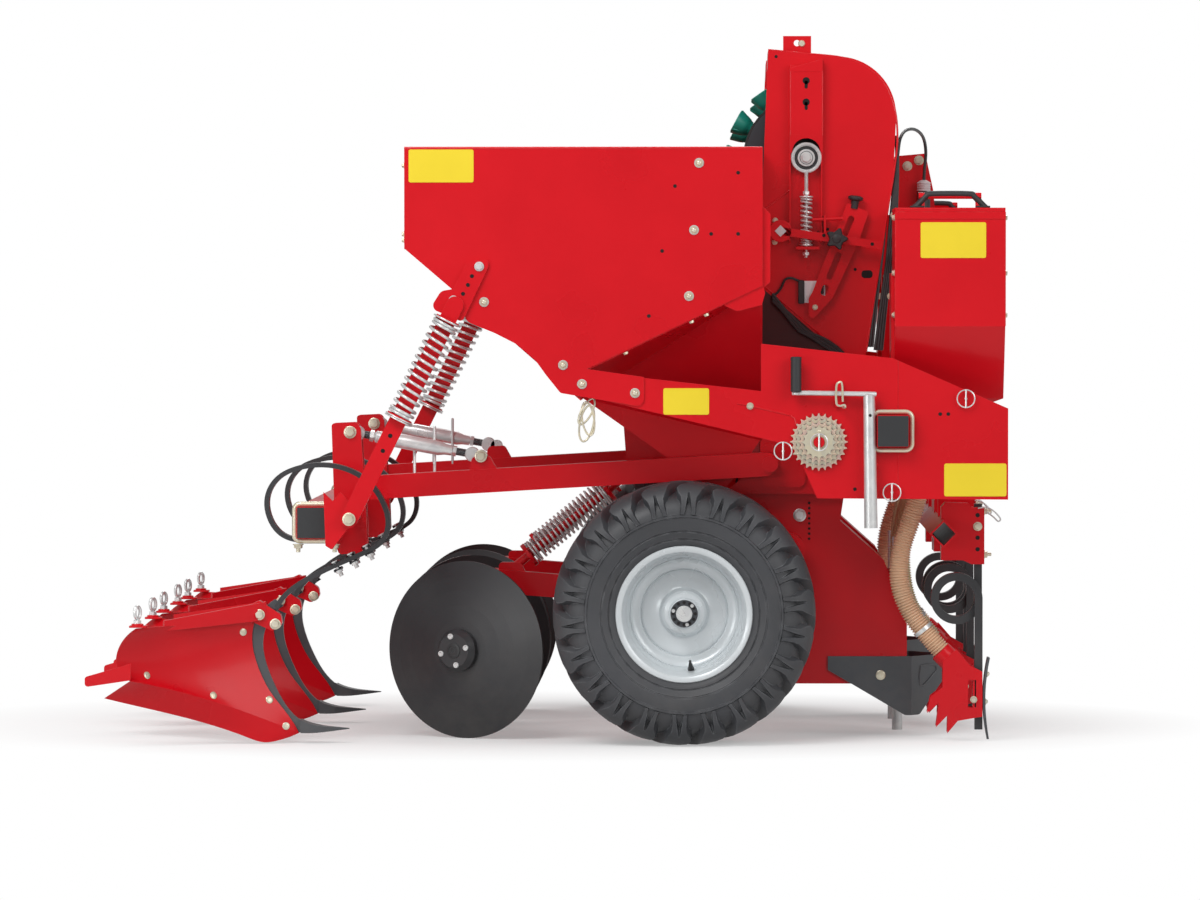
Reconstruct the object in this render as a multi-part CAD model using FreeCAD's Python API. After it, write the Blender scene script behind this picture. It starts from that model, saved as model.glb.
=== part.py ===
import FreeCAD, Part
import math
import os

# A two-row potato planter carried on a tractor's three-point linkage.
# Millimetres. +X is the direction of travel, +Y is to the left, +Z is up, and the
# floor is at zero. Left-hand pieces are built first and mirrored to the right.

V = FreeCAD.Vector

# ---------------------------------------------------------------- rows and wheels
ROW = 375.0               # centre of a row from the middle of the machine
WHEEL_Y = 750.0           # middle of a wheel from the middle of the machine
AXLE_X = 338.0
TYRE_R = 330.0            # to the tips of the lugs
TYRE_W = 290.0
BEAD_R = 155.0
RIM_W = 240.0
FLANGE_R = 169.0
LUG_COUNT = 22            # on each half of the tread
LUG_H = 20.0
LUG_W = 30.0
LUG_TURN = 32.0           # degrees away from the axle's direction
LUG_OUT = 70.0            # from a lug's middle to its end at the shoulder
LUG_IN = 62.0             # and to its end at the middle of the tread
LUG_MID = 66.0            # a lug's middle from the middle of the tread
TYRE_FLATS = 36           # flats round the casing
AXLE_R = 19.0
HUB_R = 58.0
RUN_FIT = 0.05            # radial clearance of a shaft in its bore
SEAT = 0.3                # gap between curved faces that lie on each other
AXLE_Z = TYRE_R
ARM_IN = 545.0            # inner face of a wheel arm
ARM_T = 40.0
ARM_DEPTH = 84.0
ARM_PIVOT = (600.0, 480.0)

# ---------------------------------------------------------------- main frame
SHEET = 4.0               # hopper and housing sheet
PLATE = 5.0               # side plates
SIDE_IN = 850.0           # inner face of a side plate
SIDE_OUT = SIDE_IN + PLATE
PANEL_OUT = SIDE_OUT + PLATE
TUBE = 80.0               # main and rear cross tubes
TUBE_WALL = 6.0
MAIN_X = 857.0
MAIN_Z = 787.0
MAIN_HALF = SIDE_OUT + 35
CAP_T = 8.0

# ---------------------------------------------------------------- hopper
HOP_REAR = -359.0
HOP_FRONT = 529.0
HOP_TOP = 1493.0
HOP_REAR_LOW = 1243.0
KNEE = (-165.0, 1080.0)
TROUGH_TOP = (80.0, 866.0)
TROUGH_LOW = (430.0, 620.0)
SLOPE_REAR = (95.0, 941.0)
SLOPE_FRONT = 1148.0
SADDLE = 900.0            # height of the ridge between the two rows, at the front
SADDLE_SIDE = 700.0       # where that ridge meets an elevator
MOUTH_Z = 760.0           # lower edge of the outer slope beside an elevator

# ---------------------------------------------------------------- elevators
HOUSE_IN = 225.0          # inner face of an elevator housing from the middle
HOUSE_OUT = 525.0
DUCT_KNEE = (798.0, 980.0)  # front of the duct where it starts to lean forward
DUCT_LEAN = 0.1524
LEVER_PIVOT = (580.0, 1287.0)
LEVER_END = (829.0, 1252.0)
LEVER_KNOB = (722.0, 1267.0)
QUADRANT_SLOT = 8.0       # half width of its slots
UPPER = (645.5, 1473.0)   # upper belt pulley
UPPER_R = 160.0
LOWER = (560.0, 330.0)    # lower belt pulley
LOWER_R = 100.0
BELT_T = 6.0
BELT_HALF = 112.0
SHAFT_R = 15.0
DRUM_WALL = 6.0
CUP_R = 29.0
CUP_H = 42.0
CUP_STEP = 76.0
CUP_OFFSET = 56.0         # cup columns from the middle of the belt
CUP_LOW = 700.0

# ---------------------------------------------------------------- planting boots
BOOT_IN = 250.0
BOOT_OUT = 500.0
BOOT_WALL = 6.0
BOOT_FRONT = 903.0
SHARE_T = 6.0
SHARE_REAR = 702.0
SHARE_BEND = BOOT_FRONT + 12
SHARE_NOSE = SHARE_BEND + 97
SHARE_TOP = 206.0

# ---------------------------------------------------------------- parking stands
STAND_X = BOOT_FRONT - 17
STAND_Y = 215.0
STAND_R = 13.5
STAND_TOP = 500.0
SLEEVE_LOW = 250.0
SLEEVE_TOP = 400.0
SLEEVE_HALF = 22.0
PIN_R = 5.0

# ---------------------------------------------------------------- covering discs
DISC_R = 225.0
DISC_X = -219.0
DISC_NEAR = 190.0         # disc hubs each side of their row
DISC_TOE = 28.0
DISC_DISH = 32.0
DISC_T = 5.0
DISC_CAP_R = 54.0
DISC_CAP_T = 28.0
DISC_HUB_R = 36.0
STUB_R = 15.0
DISC_ARM_PIVOT = (398.0, 348.0)
DISC_ARM_END = (-150.0, 392.0)
DISC_ARM_DEPTH = 60.0
DISC_ARM_T = 40.0

# ---------------------------------------------------------------- rear tool frame
BEAM_IN = 535.0
BEAM_OUT = 585.0
BEAM_REAR = (-542.8, 632.0)
BEAM_PIN_R = 12.0
BEAM_FRONT = (554.0, 697.0)
BEAM_H = 60.0
HEAD_T = 8.0
REAR_X = -590.8
REAR_Z = 556.0
REAR_HALF = 820.0
TINE_T = 12.0
TINE_W = 45.0
STRUT_Y = 875.0
STRUT_T = 10.0
STRUT_W = 43.0
STRUT_LOW = (-496.0, 567.0)
STRUT_TOP = (-232.0, 1100.0)
STRUT_PIN_R = 15.0
SPRING_R = 33.0
SPRING_IN = 24.0
LINK_REAR = (-510.0, 778.0)
LINK_FRONT = (-179.0, 717.0)
LINK_R = 14.0

# ---------------------------------------------------------------- ridging bodies
RIDGERS = (-750.0, 0.0, 750.0)
SHIN_T = 14.0
POINT_REAR = -624.0       # beak of a ridger's share point
POINT_TIP = -503.0
POINT_HALF = 34.0
WING_T = 5.0
WING_REACH = 250.0
TAIL_REAR = -1144.0

# ---------------------------------------------------------------- front tines
BAR_X = 989.0
BAR_Z = 525.5
BAR_HALF = 720.0
BAR = 50.0
BAR_WALL = 4.0
FRONT_TINES = (100.0, 650.0)
COIL_X = 1024.0
COIL_Z = 360.0
COIL_R = 55.0             # centreline of the coil
WIRE = 20.0               # square spring bar
COIL_PITCH = 22.0
COIL_TURNS = 2
LEG_LOW = 30.0
CLAMP_LOW = 446.0
CLAMP_TOP = 590.0
HOSE_R = 25.0
HOSE_BORE = 20.0
CHEEK_T = 5.0
SHARE_BLADE_T = 6.0
SHARE_BLADE_HALF = 28.0

# ---------------------------------------------------------------- fertiliser boxes
BOX_REAR = 863.0
BOX_FRONT = 1137.0
BOX_IN = 535.0
BOX_OUT = 845.0
BOX_TOP = 1332.0
BOX_KNEE = 1047.0
BOX_WAIST = 866.0         # foot of the sloping outer wall
BOX_LOW = 812.0
METER_LOW = 735.0
OUTLET_X = 953.0
OUTLET_Y = 650.0
OUTLET_HALF = 38.0
LID_T = 10.0
KNUCKLE = 20.0
KNUCKLE_R = 6.0
LID_HINGE = 545.0         # hinge line from the middle of the machine

# ---------------------------------------------------------------- hitch
MAST_IN = 26.0
MAST_T = 12.0
TOP_PIN = (960.0, 1265.0)
TOP_BORE_R = 12.75
LOWER_PIN = (1040.0, 650.0)
LOWER_Y = 375.0
LOWER_T = 20.0
LOWER_PIN_R = 14.0
LOWER_PIN_LONG = 85.0

# ---------------------------------------------------------------- spare sprockets
SPROCKET_T = 6.0
SPROCKET_STEP = 2.29      # root radius for each tooth
TOOTH_H = 7.5


# ================================================================ helpers
def corner_arc(before, corner, after, radius):
    """Start, middle and end of the arc that rounds a corner."""
    back = (before - corner).normalize()
    ahead = (after - corner).normalize()
    half = back.getAngle(ahead) / 2
    cut = radius / math.tan(half)
    inward = (back + ahead).normalize() * (radius / math.sin(half) - radius)
    return corner + back * cut, corner + inward, corner + ahead * cut


def outline(corners, lift):
    """Closed wire; a corner (u, v, radius) is rounded. lift maps (u, v) to space."""
    points = [lift(c[0], c[1]) for c in corners]
    count = len(points)
    spans = []
    for i, corner in enumerate(corners):
        if len(corner) > 2:
            spans.append(corner_arc(points[i - 1], points[i], points[(i + 1) % count], corner[2]))
        else:
            spans.append((points[i], None, points[i]))
    edges = []
    for i, (start, middle, end) in enumerate(spans):
        if middle is not None:
            edges.append(Part.Arc(start, middle, end).toShape())
        following = spans[(i + 1) % count][0]
        if end.distanceToPoint(following) > 1e-4:
            edges.append(Part.makeLine(end, following))
    return Part.Wire(edges)


def plate(corners, low, high):
    """Outline in X and Z, thick along Y from low to high."""
    wire = outline(corners, lambda u, v: V(u, low, v))
    return Part.Face(wire).extrude(V(0, high - low, 0))


def slab(corners, low, high):
    """Outline in X and Y, thick along Z from low to high."""
    wire = outline(corners, lambda u, v: V(u, v, low))
    return Part.Face(wire).extrude(V(0, 0, high - low))


def section(corners, low, high):
    """Outline in Y and Z, thick along X from low to high."""
    wire = outline(corners, lambda u, v: V(low, u, v))
    return Part.Face(wire).extrude(V(high - low, 0, 0))


def block(x, y, z):
    """Box between pairs of limits."""
    return Part.makeBox(x[1] - x[0], y[1] - y[0], z[1] - z[0], V(x[0], y[0], z[0]))


def rod(start, end, radius):
    start = V(*start)
    along = V(*end) - start
    return Part.makeCylinder(radius, along.Length, start, along)


def pin(x, z, low, high, radius):
    """Cylinder along Y."""
    return rod((x, low, z), (x, high, z), radius)


def turned(profile, origin, direction):
    """Solid of revolution; profile holds (radius, distance along the axis)."""
    points = [V(r, 0, w) for r, w in profile]
    face = Part.Face(Part.makePolygon(points + points[:1]))
    solid = face.revolve(V(0, 0, 0), V(0, 0, 1), 360)
    solid.Placement = FreeCAD.Placement(V(*origin), FreeCAD.Rotation(V(0, 0, 1), V(*direction)))
    return solid


def link(a, b, half, low, high):
    """Flat bar with round ends from a to b in X and Z."""
    along = V(b[0] - a[0], 0, b[1] - a[1])
    side = V(-along.z, 0, along.x).normalize() * half
    ends = [(a[0] + side.x, a[1] + side.z), (b[0] + side.x, b[1] + side.z),
            (b[0] - side.x, b[1] - side.z), (a[0] - side.x, a[1] - side.z)]
    bar = plate(ends, low, high)
    return fuse(bar, pin(a[0], a[1], low, high, half), pin(b[0], b[1], low, high, half))


def panel(points, thickness):
    """Sloping flat panel through 3-D corners, thickened straight down."""
    corners = [V(*p) for p in points]
    face = Part.Face(Part.makePolygon(corners + corners[:1]))
    return face.extrude(V(0, 0, -thickness))


def fuse(first, *others):
    return first.multiFuse(list(others)).removeSplitter()


def cut(first, *others):
    return first.cut(list(others))


def mirrored(shape):
    return shape.mirror(V(0, 0, 0), V(0, 1, 0))


def pair(shape):
    """The left piece and its mirror image on the right."""
    return [shape, mirrored(shape)]


def square_tube(x, z, half, size, wall, turn=0.0):
    """Hollow square cross tube, from -half to half along Y."""
    outer = size / 2
    inner = outer - wall
    body = block((-outer, outer), (-half, half), (-outer, outer))
    hole = block((-inner, inner), (-half - 1, half + 1), (-inner, inner))
    tube = cut(body, hole)
    tube.Placement = FreeCAD.Placement(V(x, 0, z), FreeCAD.Rotation(V(0, 1, 0), turn))
    return tube


def turned_bar(low, high):
    """Solid of the square tine bar between two places across the machine."""
    half = BAR / 2
    bar = block((-half, half), (low, high), (-half, half))
    bar.Placement = FreeCAD.Placement(V(BAR_X, 0, BAR_Z), FreeCAD.Rotation(V(0, 1, 0), 45))
    return bar


def write(name, *shapes):
    """One STEP file for one named piece."""
    solids = []
    for shape in shapes:
        solids += shape.Solids
    whole = solids[0] if len(solids) == 1 else Part.makeCompound(solids)
    whole.exportStep("parts/" + name + ".step")


def write_sides(name, shape):
    """A left piece and its right-hand twin, as two nodes."""
    write(name + "_left", shape)
    write(name + "_right", mirrored(shape))


# ================================================================ wheels
def flat_ring(profile, count):
    """Closed (radius, y) outline turned about Y in flats; a radius is to the middle of a flat."""
    stretch = 1 / math.cos(math.pi / count)
    angles = [2 * math.pi * i / count for i in range(count + 1)]

    def place(corner, angle):
        radius = corner[0] * stretch
        return V(radius * math.sin(angle), corner[1], radius * math.cos(angle))

    faces = []
    for first, second in zip(angles, angles[1:]):
        for i, corner in enumerate(profile):
            before = profile[i - 1]
            ring = [place(before, first), place(corner, first), place(corner, second),
                    place(before, second)]
            faces.append(Part.Face(Part.makePolygon(ring + ring[:1])))
    shell = Part.Shell(faces)
    shell.sewShape()
    ring = Part.Solid(shell)
    if ring.Volume < 0:
        ring.reverse()
    return ring


def tread_lug():
    """One bar of the tread at the top of the wheel, on the outer half."""
    turn = math.radians(LUG_TURN)
    chord = LUG_OUT * math.sin(turn) + LUG_W / 2 * math.cos(turn)
    top = math.sqrt(TYRE_R ** 2 - chord ** 2)
    foot = TYRE_R - 38
    half = TYRE_W / 2
    bar = block((-LUG_W / 2, LUG_W / 2), (-LUG_IN, LUG_OUT), (foot, top))
    bar.rotate(V(0, 0, 0), V(0, 0, 1), LUG_TURN)
    bar.translate(V(0, LUG_MID, 0))
    shoulder = section([(0, foot - 1), (0, TYRE_R), (half - 25, TYRE_R), (half, TYRE_R - 26),
                        (half, foot - 1)], -2 * LUG_OUT, 2 * LUG_OUT)
    return bar.common(shoulder)


def tyre():
    half = TYRE_W / 2
    deck = TYRE_R - LUG_H
    seat = BEAD_R + SEAT
    heel = RIM_W / 2 - 2 - SEAT
    side = [(seat, heel), (FLANGE_R + SEAT, heel), (FLANGE_R + 61, half), (deck - 30, half - 4),
            (deck, half - 32)]
    lining = [(FLANGE_R + 63, half - 12)]
    profile = side + [(r, -w) for r, w in reversed(side)]
    profile += [(seat, 18 - heel)] + [(r, -w) for r, w in lining]
    profile += [(deck - 12, 0)] + list(reversed(lining)) + [(seat, heel - 18)]
    casing = flat_ring(profile, TYRE_FLATS)
    outer = tread_lug()
    inner = mirrored(outer)
    lugs = []
    for i in range(LUG_COUNT):
        for shape, shift in ((inner, 0.0), (outer, 0.5)):
            lug = shape.copy()
            lug.rotate(V(0, 0, 0), V(0, 1, 0), 360 / LUG_COUNT * (i + shift))
            lugs.append(lug)
    whole = casing.multiFuse(lugs)
    whole.translate(V(AXLE_X, WHEEL_Y, AXLE_Z))
    return whole


def rim():
    """Dished steel wheel, with its hub, as one turned piece."""
    half = RIM_W / 2
    lip = BEAD_R - 9
    well = BEAD_R - 13
    disc = HUB_R + 51
    bore = AXLE_R + RUN_FIT
    profile = [(well - 10, -80), (lip, -half - 4), (FLANGE_R, -half - 4), (FLANGE_R, -half + 2),
               (BEAD_R, -half + 2), (BEAD_R, -half + 30), (well, -half + 44), (well, 54),
               (BEAD_R, 84), (BEAD_R, half - 2), (FLANGE_R, half - 2), (FLANGE_R, half + 4),
               (lip, half + 4), (lip, 88), (well - 8, 62), (well - 10, 30), (disc, 20), (HUB_R, 32),
               (HUB_R, 46), (36, 50), (36, 84), (bore, 84), (bore, -70), (46, -70), (46, 14),
               (disc, 12), (well - 12, 20), (well - 10, 16)]
    return turned(profile, (AXLE_X, WHEEL_Y, AXLE_Z), (0, 1, 0))


def wheel_arm():
    arm_out = ARM_IN + ARM_T
    arm = link(ARM_PIVOT, (AXLE_X, AXLE_Z), ARM_DEPTH / 2, ARM_IN, arm_out)
    boss = pin(ARM_PIVOT[0], ARM_PIVOT[1], BOOT_OUT, arm_out + 12, 32)
    stub = pin(AXLE_X, AXLE_Z, arm_out, WHEEL_Y + 92, AXLE_R)
    collar = pin(AXLE_X, AXLE_Z, arm_out, arm_out + 30, 34)
    return fuse(arm, boss, stub, collar)


def build_wheels():
    write_sides("tyre", tyre())
    write_sides("rim", rim())
    write("wheel_arms", *pair(wheel_arm()))


# ================================================================ frame
def duct_x(z):
    """Front face of the elevator duct at height z."""
    return DUCT_KNEE[0] + (z - DUCT_KNEE[1]) * DUCT_LEAN


def main_frame():
    tube = square_tube(MAIN_X, MAIN_Z, MAIN_HALF, TUBE, TUBE_WALL)
    back = MAIN_X - TUBE / 2
    saddles = []
    for low, high in ((260, 300), (450, 490)):
        saddle = plate([(duct_x(750), 750), (back, 750), (back, 824), (duct_x(824), 824)], low, high)
        saddles += pair(saddle)
    return tube, saddles


def side_plate():
    rail = plate([(66, 938, 20), (529.2, 886), (529.2, 1004), (857, 968), (1144, 843),
                  (1144, 616), (669, 619), (612, 749), (66, 880, 20)], SIDE_IN, SIDE_OUT)
    half = TUBE / 2
    hole = block((MAIN_X - half, MAIN_X + half), (SIDE_IN - 1, SIDE_OUT + 1),
                 (MAIN_Z - half, MAIN_Z + half))
    return cut(rail, hole)


def mast():
    """Headstock mast for the tractor's upper link."""
    foot = MAIN_Z + TUBE / 2
    side = plate([(817, foot), (849, 964), (884, 1488), (963, 1495), (985, 1393), (992, 1265),
                  (930, foot)], MAST_IN, MAST_IN + MAST_T)
    side = cut(side, pin(TOP_PIN[0], TOP_PIN[1], MAST_IN - 1, MAST_IN + MAST_T + 1, TOP_BORE_R))
    upper = pin(925, 1440, -MAST_IN, MAST_IN, 16)
    lower = block((862, 874), (-MAST_IN, MAST_IN), (900, 1180))
    return fuse(side, mirrored(side), upper, lower)


def lower_hitch():
    """Plate from the main tube that carries a lower-link pin and the tine bar."""
    face = MAIN_X + TUBE / 2
    top = MAIN_Z + TUBE / 2
    x, z = LOWER_PIN
    hanger = plate([(face, top), (955, top), (x + 45, z + 35, 30), (x + 45, z - 38, 30),
                    (x + 5, BAR_Z - 6), (BAR_X - 4, BAR_Z - 6), (BAR_X - 4, z + 10, 24),
                    (face, MAIN_Z - 57)], LOWER_Y, LOWER_Y + LOWER_T)
    out = LOWER_Y + LOWER_T
    peg = pin(x, z, out, out + LOWER_PIN_LONG, LOWER_PIN_R)
    return fuse(cut(hanger, turned_bar(LOWER_Y - 1, out + 1)), peg)


def tube_caps():
    caps = []
    for x, z, half in ((MAIN_X, MAIN_Z, MAIN_HALF), (REAR_X, REAR_Z, REAR_HALF)):
        reach = TUBE / 2 - 2
        caps += pair(block((x - reach, x + reach), (half, half + CAP_T), (z - reach, z + reach)))
    return caps


def build_frame():
    tube, saddles = main_frame()
    hitches = pair(lower_hitch())
    write("main_frame", fuse(tube, *saddles, *hitches, *pair(box_bracket())))
    write("hitch_mast", mast())
    write("side_plates", *pair(side_plate()))
    write("tube_caps", *tube_caps())


# ================================================================ hopper
def hopper_side():
    x, z = TROUGH_TOP
    front = HOP_FRONT + SHEET
    corners = [(HOP_REAR, HOP_TOP), (front, HOP_TOP), (front, SLOPE_FRONT), SLOPE_REAR,
               (x + 158, z + 55), (x + 158, z - 20, 18), (x - 50, z + 15, 12), (x - 86, z + 60),
               (x - 112, z + 96), (x - 160, z + 137), (x - 213, z + 164, 60),
               (KNEE[0] - 37, KNEE[1] - 22, 20), (KNEE[0] - 70, KNEE[1] + 55),
               (HOP_REAR, HOP_REAR_LOW - 2)]
    return plate(corners, SIDE_OUT, PANEL_OUT)


def hopper_walls():
    """Rear wall, and front wall with the elevator openings."""
    rear = block((HOP_REAR, HOP_REAR + SHEET), (-SIDE_OUT, SIDE_OUT),
                 (HOP_REAR_LOW - SHEET, HOP_TOP))
    thick = (HOP_FRONT, HOP_FRONT + SHEET)
    outer = section([(HOUSE_OUT, MOUTH_Z - SHEET), (SIDE_OUT, SLOPE_FRONT - SHEET),
                     (SIDE_OUT, HOP_TOP), (HOUSE_OUT, HOP_TOP)], *thick)
    middle = section([(-HOUSE_IN, SADDLE_SIDE - SHEET), (0, SADDLE - SHEET),
                      (HOUSE_IN, SADDLE_SIDE - SHEET), (HOUSE_IN, HOP_TOP), (-HOUSE_IN, HOP_TOP)],
                     *thick)
    return [rear, middle] + pair(outer)


def trough_z(x):
    """Height of the trough floor at x."""
    fall = (TROUGH_TOP[1] - TROUGH_LOW[1]) / (TROUGH_LOW[0] - TROUGH_TOP[0])
    return TROUGH_TOP[1] - (x - TROUGH_TOP[0]) * fall


def hopper_floor():
    """Sloping floor that runs down into one trough for each elevator."""
    side = SIDE_OUT
    rear = (HOP_REAR + SHEET, HOP_REAR_LOW)
    out = HOUSE_OUT + SHEET
    inn = HOUSE_IN - SHEET
    top_x, top_z = TROUGH_TOP
    low_x, low_z = TROUGH_LOW
    full = []
    for (x0, z0), (x1, z1) in ((rear, KNEE), (KNEE, TROUGH_TOP)):
        full.append(panel([(x0, -side, z0), (x0, side, z0), (x1, side, z1), (x1, -side, z1)], SHEET))
    mouth = (top_x, out, top_z)
    front = (HOP_FRONT, out, MOUTH_Z)
    inner_mouth = (top_x, inn, top_z)
    inner_front = (HOP_FRONT, inn, SADDLE_SIDE)
    half = [
        panel([inner_mouth, mouth, (low_x, out, low_z), (low_x, inn, low_z)], SHEET),
        panel([mouth, (top_x, side, top_z), (SLOPE_REAR[0], side, SLOPE_REAR[1])], SHEET),
        panel([mouth, (SLOPE_REAR[0], side, SLOPE_REAR[1]), (HOP_FRONT, side, SLOPE_FRONT)], SHEET),
        panel([mouth, (HOP_FRONT, side, SLOPE_FRONT), front], SHEET),
        panel([(top_x, 0, top_z), inner_mouth, inner_front], SHEET),
        panel([(top_x, 0, top_z), inner_front, (HOP_FRONT, 0, SADDLE)], SHEET),
        plate([(top_x, top_z), (low_x, low_z - SHEET), (HOP_FRONT, MOUTH_Z - SHEET),
               (HOP_FRONT, MOUTH_Z)], HOUSE_OUT, out),
        plate([(top_x, top_z), (low_x, low_z - SHEET), (HOP_FRONT, SADDLE_SIDE - SHEET),
               (HOP_FRONT, SADDLE_SIDE)], inn, HOUSE_IN)]
    pieces = full[1:]
    for piece in half:
        pieces += pair(piece)
    return cut(fuse(full[0], *pieces), *pair(side_plate()))


def build_hopper():
    write("hopper_sides", *pair(hopper_side()))
    write("hopper_walls", *hopper_walls())
    write("hopper_floor", hopper_floor())


# ================================================================ elevators
def elevator_housing():
    corners = [(TROUGH_LOW[0] + 6, 620), (duct_x(620), 620), DUCT_KNEE, (833.5, 1214), (866.6, 1430, 300),
               (880, 1716, 150), (548.9, 1747.6), (HOP_FRONT, 1264.8),
               (HOP_FRONT, 700)]
    outer = plate(corners, HOUSE_IN, HOUSE_OUT)
    face = Part.Face(outline(corners, lambda u, v: V(u, HOUSE_IN + SHEET, v)))
    inner = face.makeOffset2D(-SHEET).extrude(V(0, HOUSE_OUT - HOUSE_IN - 2 * SHEET, 0))
    low, high = HOUSE_IN + SHEET, HOUSE_OUT - SHEET
    back = block((400, 640), (low, high), (600, 1700))
    foot = block((440, duct_x(620) - SHEET), (low, high), (600, 640))
    shell = cut(outer, inner, back, foot)
    bracket = plate([(587, 1740), (587, 1783), (658, 1783), (658, 1733)], HOUSE_OUT - 30, HOUSE_OUT - 24)
    bracket = cut(bracket, pin(622, 1765, HOUSE_OUT - 31, HOUSE_OUT - 23, 8))
    channel = plate([(605, 1525), (605, 1708), (686, 1692), (686, 1525)], HOUSE_OUT, HOUSE_OUT + 22)
    return fuse(shell, bracket, channel)


def belt_path(radius_up, radius_low, low, high):
    """Solid between two pulleys' common tangents."""
    up, down = V(UPPER[0], low, UPPER[1]), V(LOWER[0], low, LOWER[1])
    axis = down - up
    lean = math.acos((radius_up - radius_low) / axis.Length)
    base = math.atan2(axis.z, axis.x)

    def at(centre, radius, angle):
        return centre + V(math.cos(angle) * radius, 0, math.sin(angle) * radius)

    first, second = base + lean, base - lean
    edges = [
        Part.Arc(at(up, radius_up, first), at(up, radius_up, base + math.pi),
                 at(up, radius_up, second)).toShape(),
        Part.makeLine(at(up, radius_up, second), at(down, radius_low, second)),
        Part.Arc(at(down, radius_low, second), at(down, radius_low, base),
                 at(down, radius_low, first)).toShape(),
        Part.makeLine(at(down, radius_low, first), at(up, radius_up, first))]
    return Part.Face(Part.Wire(edges)).extrude(V(0, high - low, 0))


def cup_belt():
    low, high = ROW - BELT_HALF, ROW + BELT_HALF
    band = cut(belt_path(UPPER_R, LOWER_R, low, high),
               belt_path(UPPER_R - BELT_T, LOWER_R - BELT_T, low - 1, high + 1))
    return band


def drum(centre, radius, low, high):
    """Belt pulley: a rim on two end plates and a shaft."""
    x, z = centre
    rim_solid = cut(pin(x, z, ROW - BELT_HALF, ROW + BELT_HALF, radius),
                    pin(x, z, ROW - BELT_HALF + DRUM_WALL, ROW + BELT_HALF - DRUM_WALL,
                        radius - DRUM_WALL))
    return fuse(rim_solid, pin(x, z, low, high, SHAFT_R))


def belt_pulleys():
    gap = BELT_T + SEAT
    upper = drum(UPPER, UPPER_R - gap, HOUSE_IN + SHEET, HOUSE_OUT - SHEET)
    lower = drum(LOWER, LOWER_R - gap, BOOT_IN + BOOT_WALL, BOOT_OUT - BOOT_WALL)
    return pair(upper) + pair(lower)


def cup(foot, outward):
    """Planting cup, a short flared bowl that stands on the belt."""
    body = Part.makeCone(CUP_R - 8, CUP_R, CUP_H, foot, outward)
    bowl = Part.makeSphere(CUP_R - 4, foot + outward * (CUP_H + 4))
    return body.cut(bowl)


def belt_cups():
    """Cups on the rising strand and over the upper pulley."""
    axis = V(LOWER[0] - UPPER[0], 0, LOWER[1] - UPPER[1])
    lean = math.acos((UPPER_R - LOWER_R) / axis.Length)
    turn = math.atan2(axis.z, axis.x) - lean
    outward = V(math.cos(turn), 0, math.sin(turn))
    along = V(outward.z, 0, -outward.x)
    top = V(UPPER[0], 0, UPPER[1]) + outward * UPPER_R
    feet = []
    count = int((UPPER[1] - CUP_LOW) / CUP_STEP)
    for i in range(count):
        feet.append((top - along * (i * CUP_STEP), outward))
    for i in range(1, 4):
        angle = turn - i * CUP_STEP / UPPER_R
        way = V(math.cos(angle), 0, math.sin(angle))
        feet.append((V(UPPER[0], 0, UPPER[1]) + way * UPPER_R, way))
    cups = []
    for foot, way in feet:
        for side in (-1, 1):
            cups += pair(cup(foot + V(0, ROW + side * CUP_OFFSET, 0), way))
    return cups


def belt_tensioner():
    """Bearing, threaded rod and spring on the outside of the housing."""
    x, z = UPPER
    bearing = pin(x, z, HOUSE_OUT, HOUSE_OUT + 24, 38)
    screw = rod((x, HOUSE_OUT + 16, 1240), (x, HOUSE_OUT + 16, z), 6)
    foot = block((x - 24, x + 24), (HOUSE_OUT, HOUSE_OUT + 36), (1234, 1252))
    seat = pin_z(x, HOUSE_OUT + 20, 1370, 1378, 16)
    spring = pin_z(x, HOUSE_OUT + 20, 1252, 1370, 15)
    return fuse(bearing, screw, foot, seat, spring)


def pin_z(x, y, low, high, radius):
    """Cylinder along Z."""
    return rod((x, y, low), (x, y, high), radius)


def agitator_lever():
    """Slotted quadrant plate with its hand lever."""
    low = HOUSE_OUT
    quadrant = plate([(749, 1359, 6), (803, 1335, 6), (780, 1264), (712, 1117, 8), (663, 1064, 8),
                      (652, 1073, 6), (652, 1115, 8), (663, 1137), (734, 1318)], low + 14, low + 20)
    spans = [((759, 1318), (734, 1258)), ((727, 1226), (705, 1172)), ((694, 1143), (690, 1132))]
    slots = [link(a, b, QUADRANT_SLOT, low + 13, low + 21) for a, b in spans]
    posts = [pin(x, z, low, low + 14, 10) for x, z in ((668, 1092), (770, 1340))]
    lever = link(LEVER_PIVOT, LEVER_END, 10, low + 38, low + 46)
    pivot = pin(*LEVER_PIVOT, low, low + 46, 9)
    knob = pin(*LEVER_KNOB, low + 20, low + 60, 20)
    return fuse(cut(quadrant, *slots), *posts, lever, pivot, knob)


def build_elevators():
    write("elevator_housings", *pair(elevator_housing()))
    write("cup_belts", *pair(cup_belt()))
    write("belt_pulleys", *belt_pulleys())
    write("belt_cups", *belt_cups())
    write("belt_tensioners", *pair(belt_tensioner()))
    write("agitator_levers", *pair(agitator_lever()))


# ================================================================ planting boots
def planting_boot():
    corners = [(TROUGH_LOW[0], 620), (TROUGH_LOW[0], 330, 40), (470, 230), (600, 136),
               (BOOT_FRONT - 133, 136, 30), (BOOT_FRONT, 208), (BOOT_FRONT, 302), (BOOT_FRONT - 59, 451),
               (duct_x(551), 551), (duct_x(620), 620)]
    outer = plate(corners, BOOT_IN, BOOT_OUT)
    face = Part.Face(outline(corners, lambda u, v: V(u, BOOT_IN + BOOT_WALL, v)))
    inner = face.makeOffset2D(-BOOT_WALL).extrude(V(0, BOOT_OUT - BOOT_IN - 2 * BOOT_WALL, 0))
    low, high = BOOT_IN + BOOT_WALL, BOOT_OUT - BOOT_WALL
    mouth = block((TROUGH_LOW[0] + BOOT_WALL, 735), (low, high), (600, 640))
    drop = block((612, 752), (low, high), (120, 150))
    return cut(outer, inner, mouth, drop)


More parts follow.
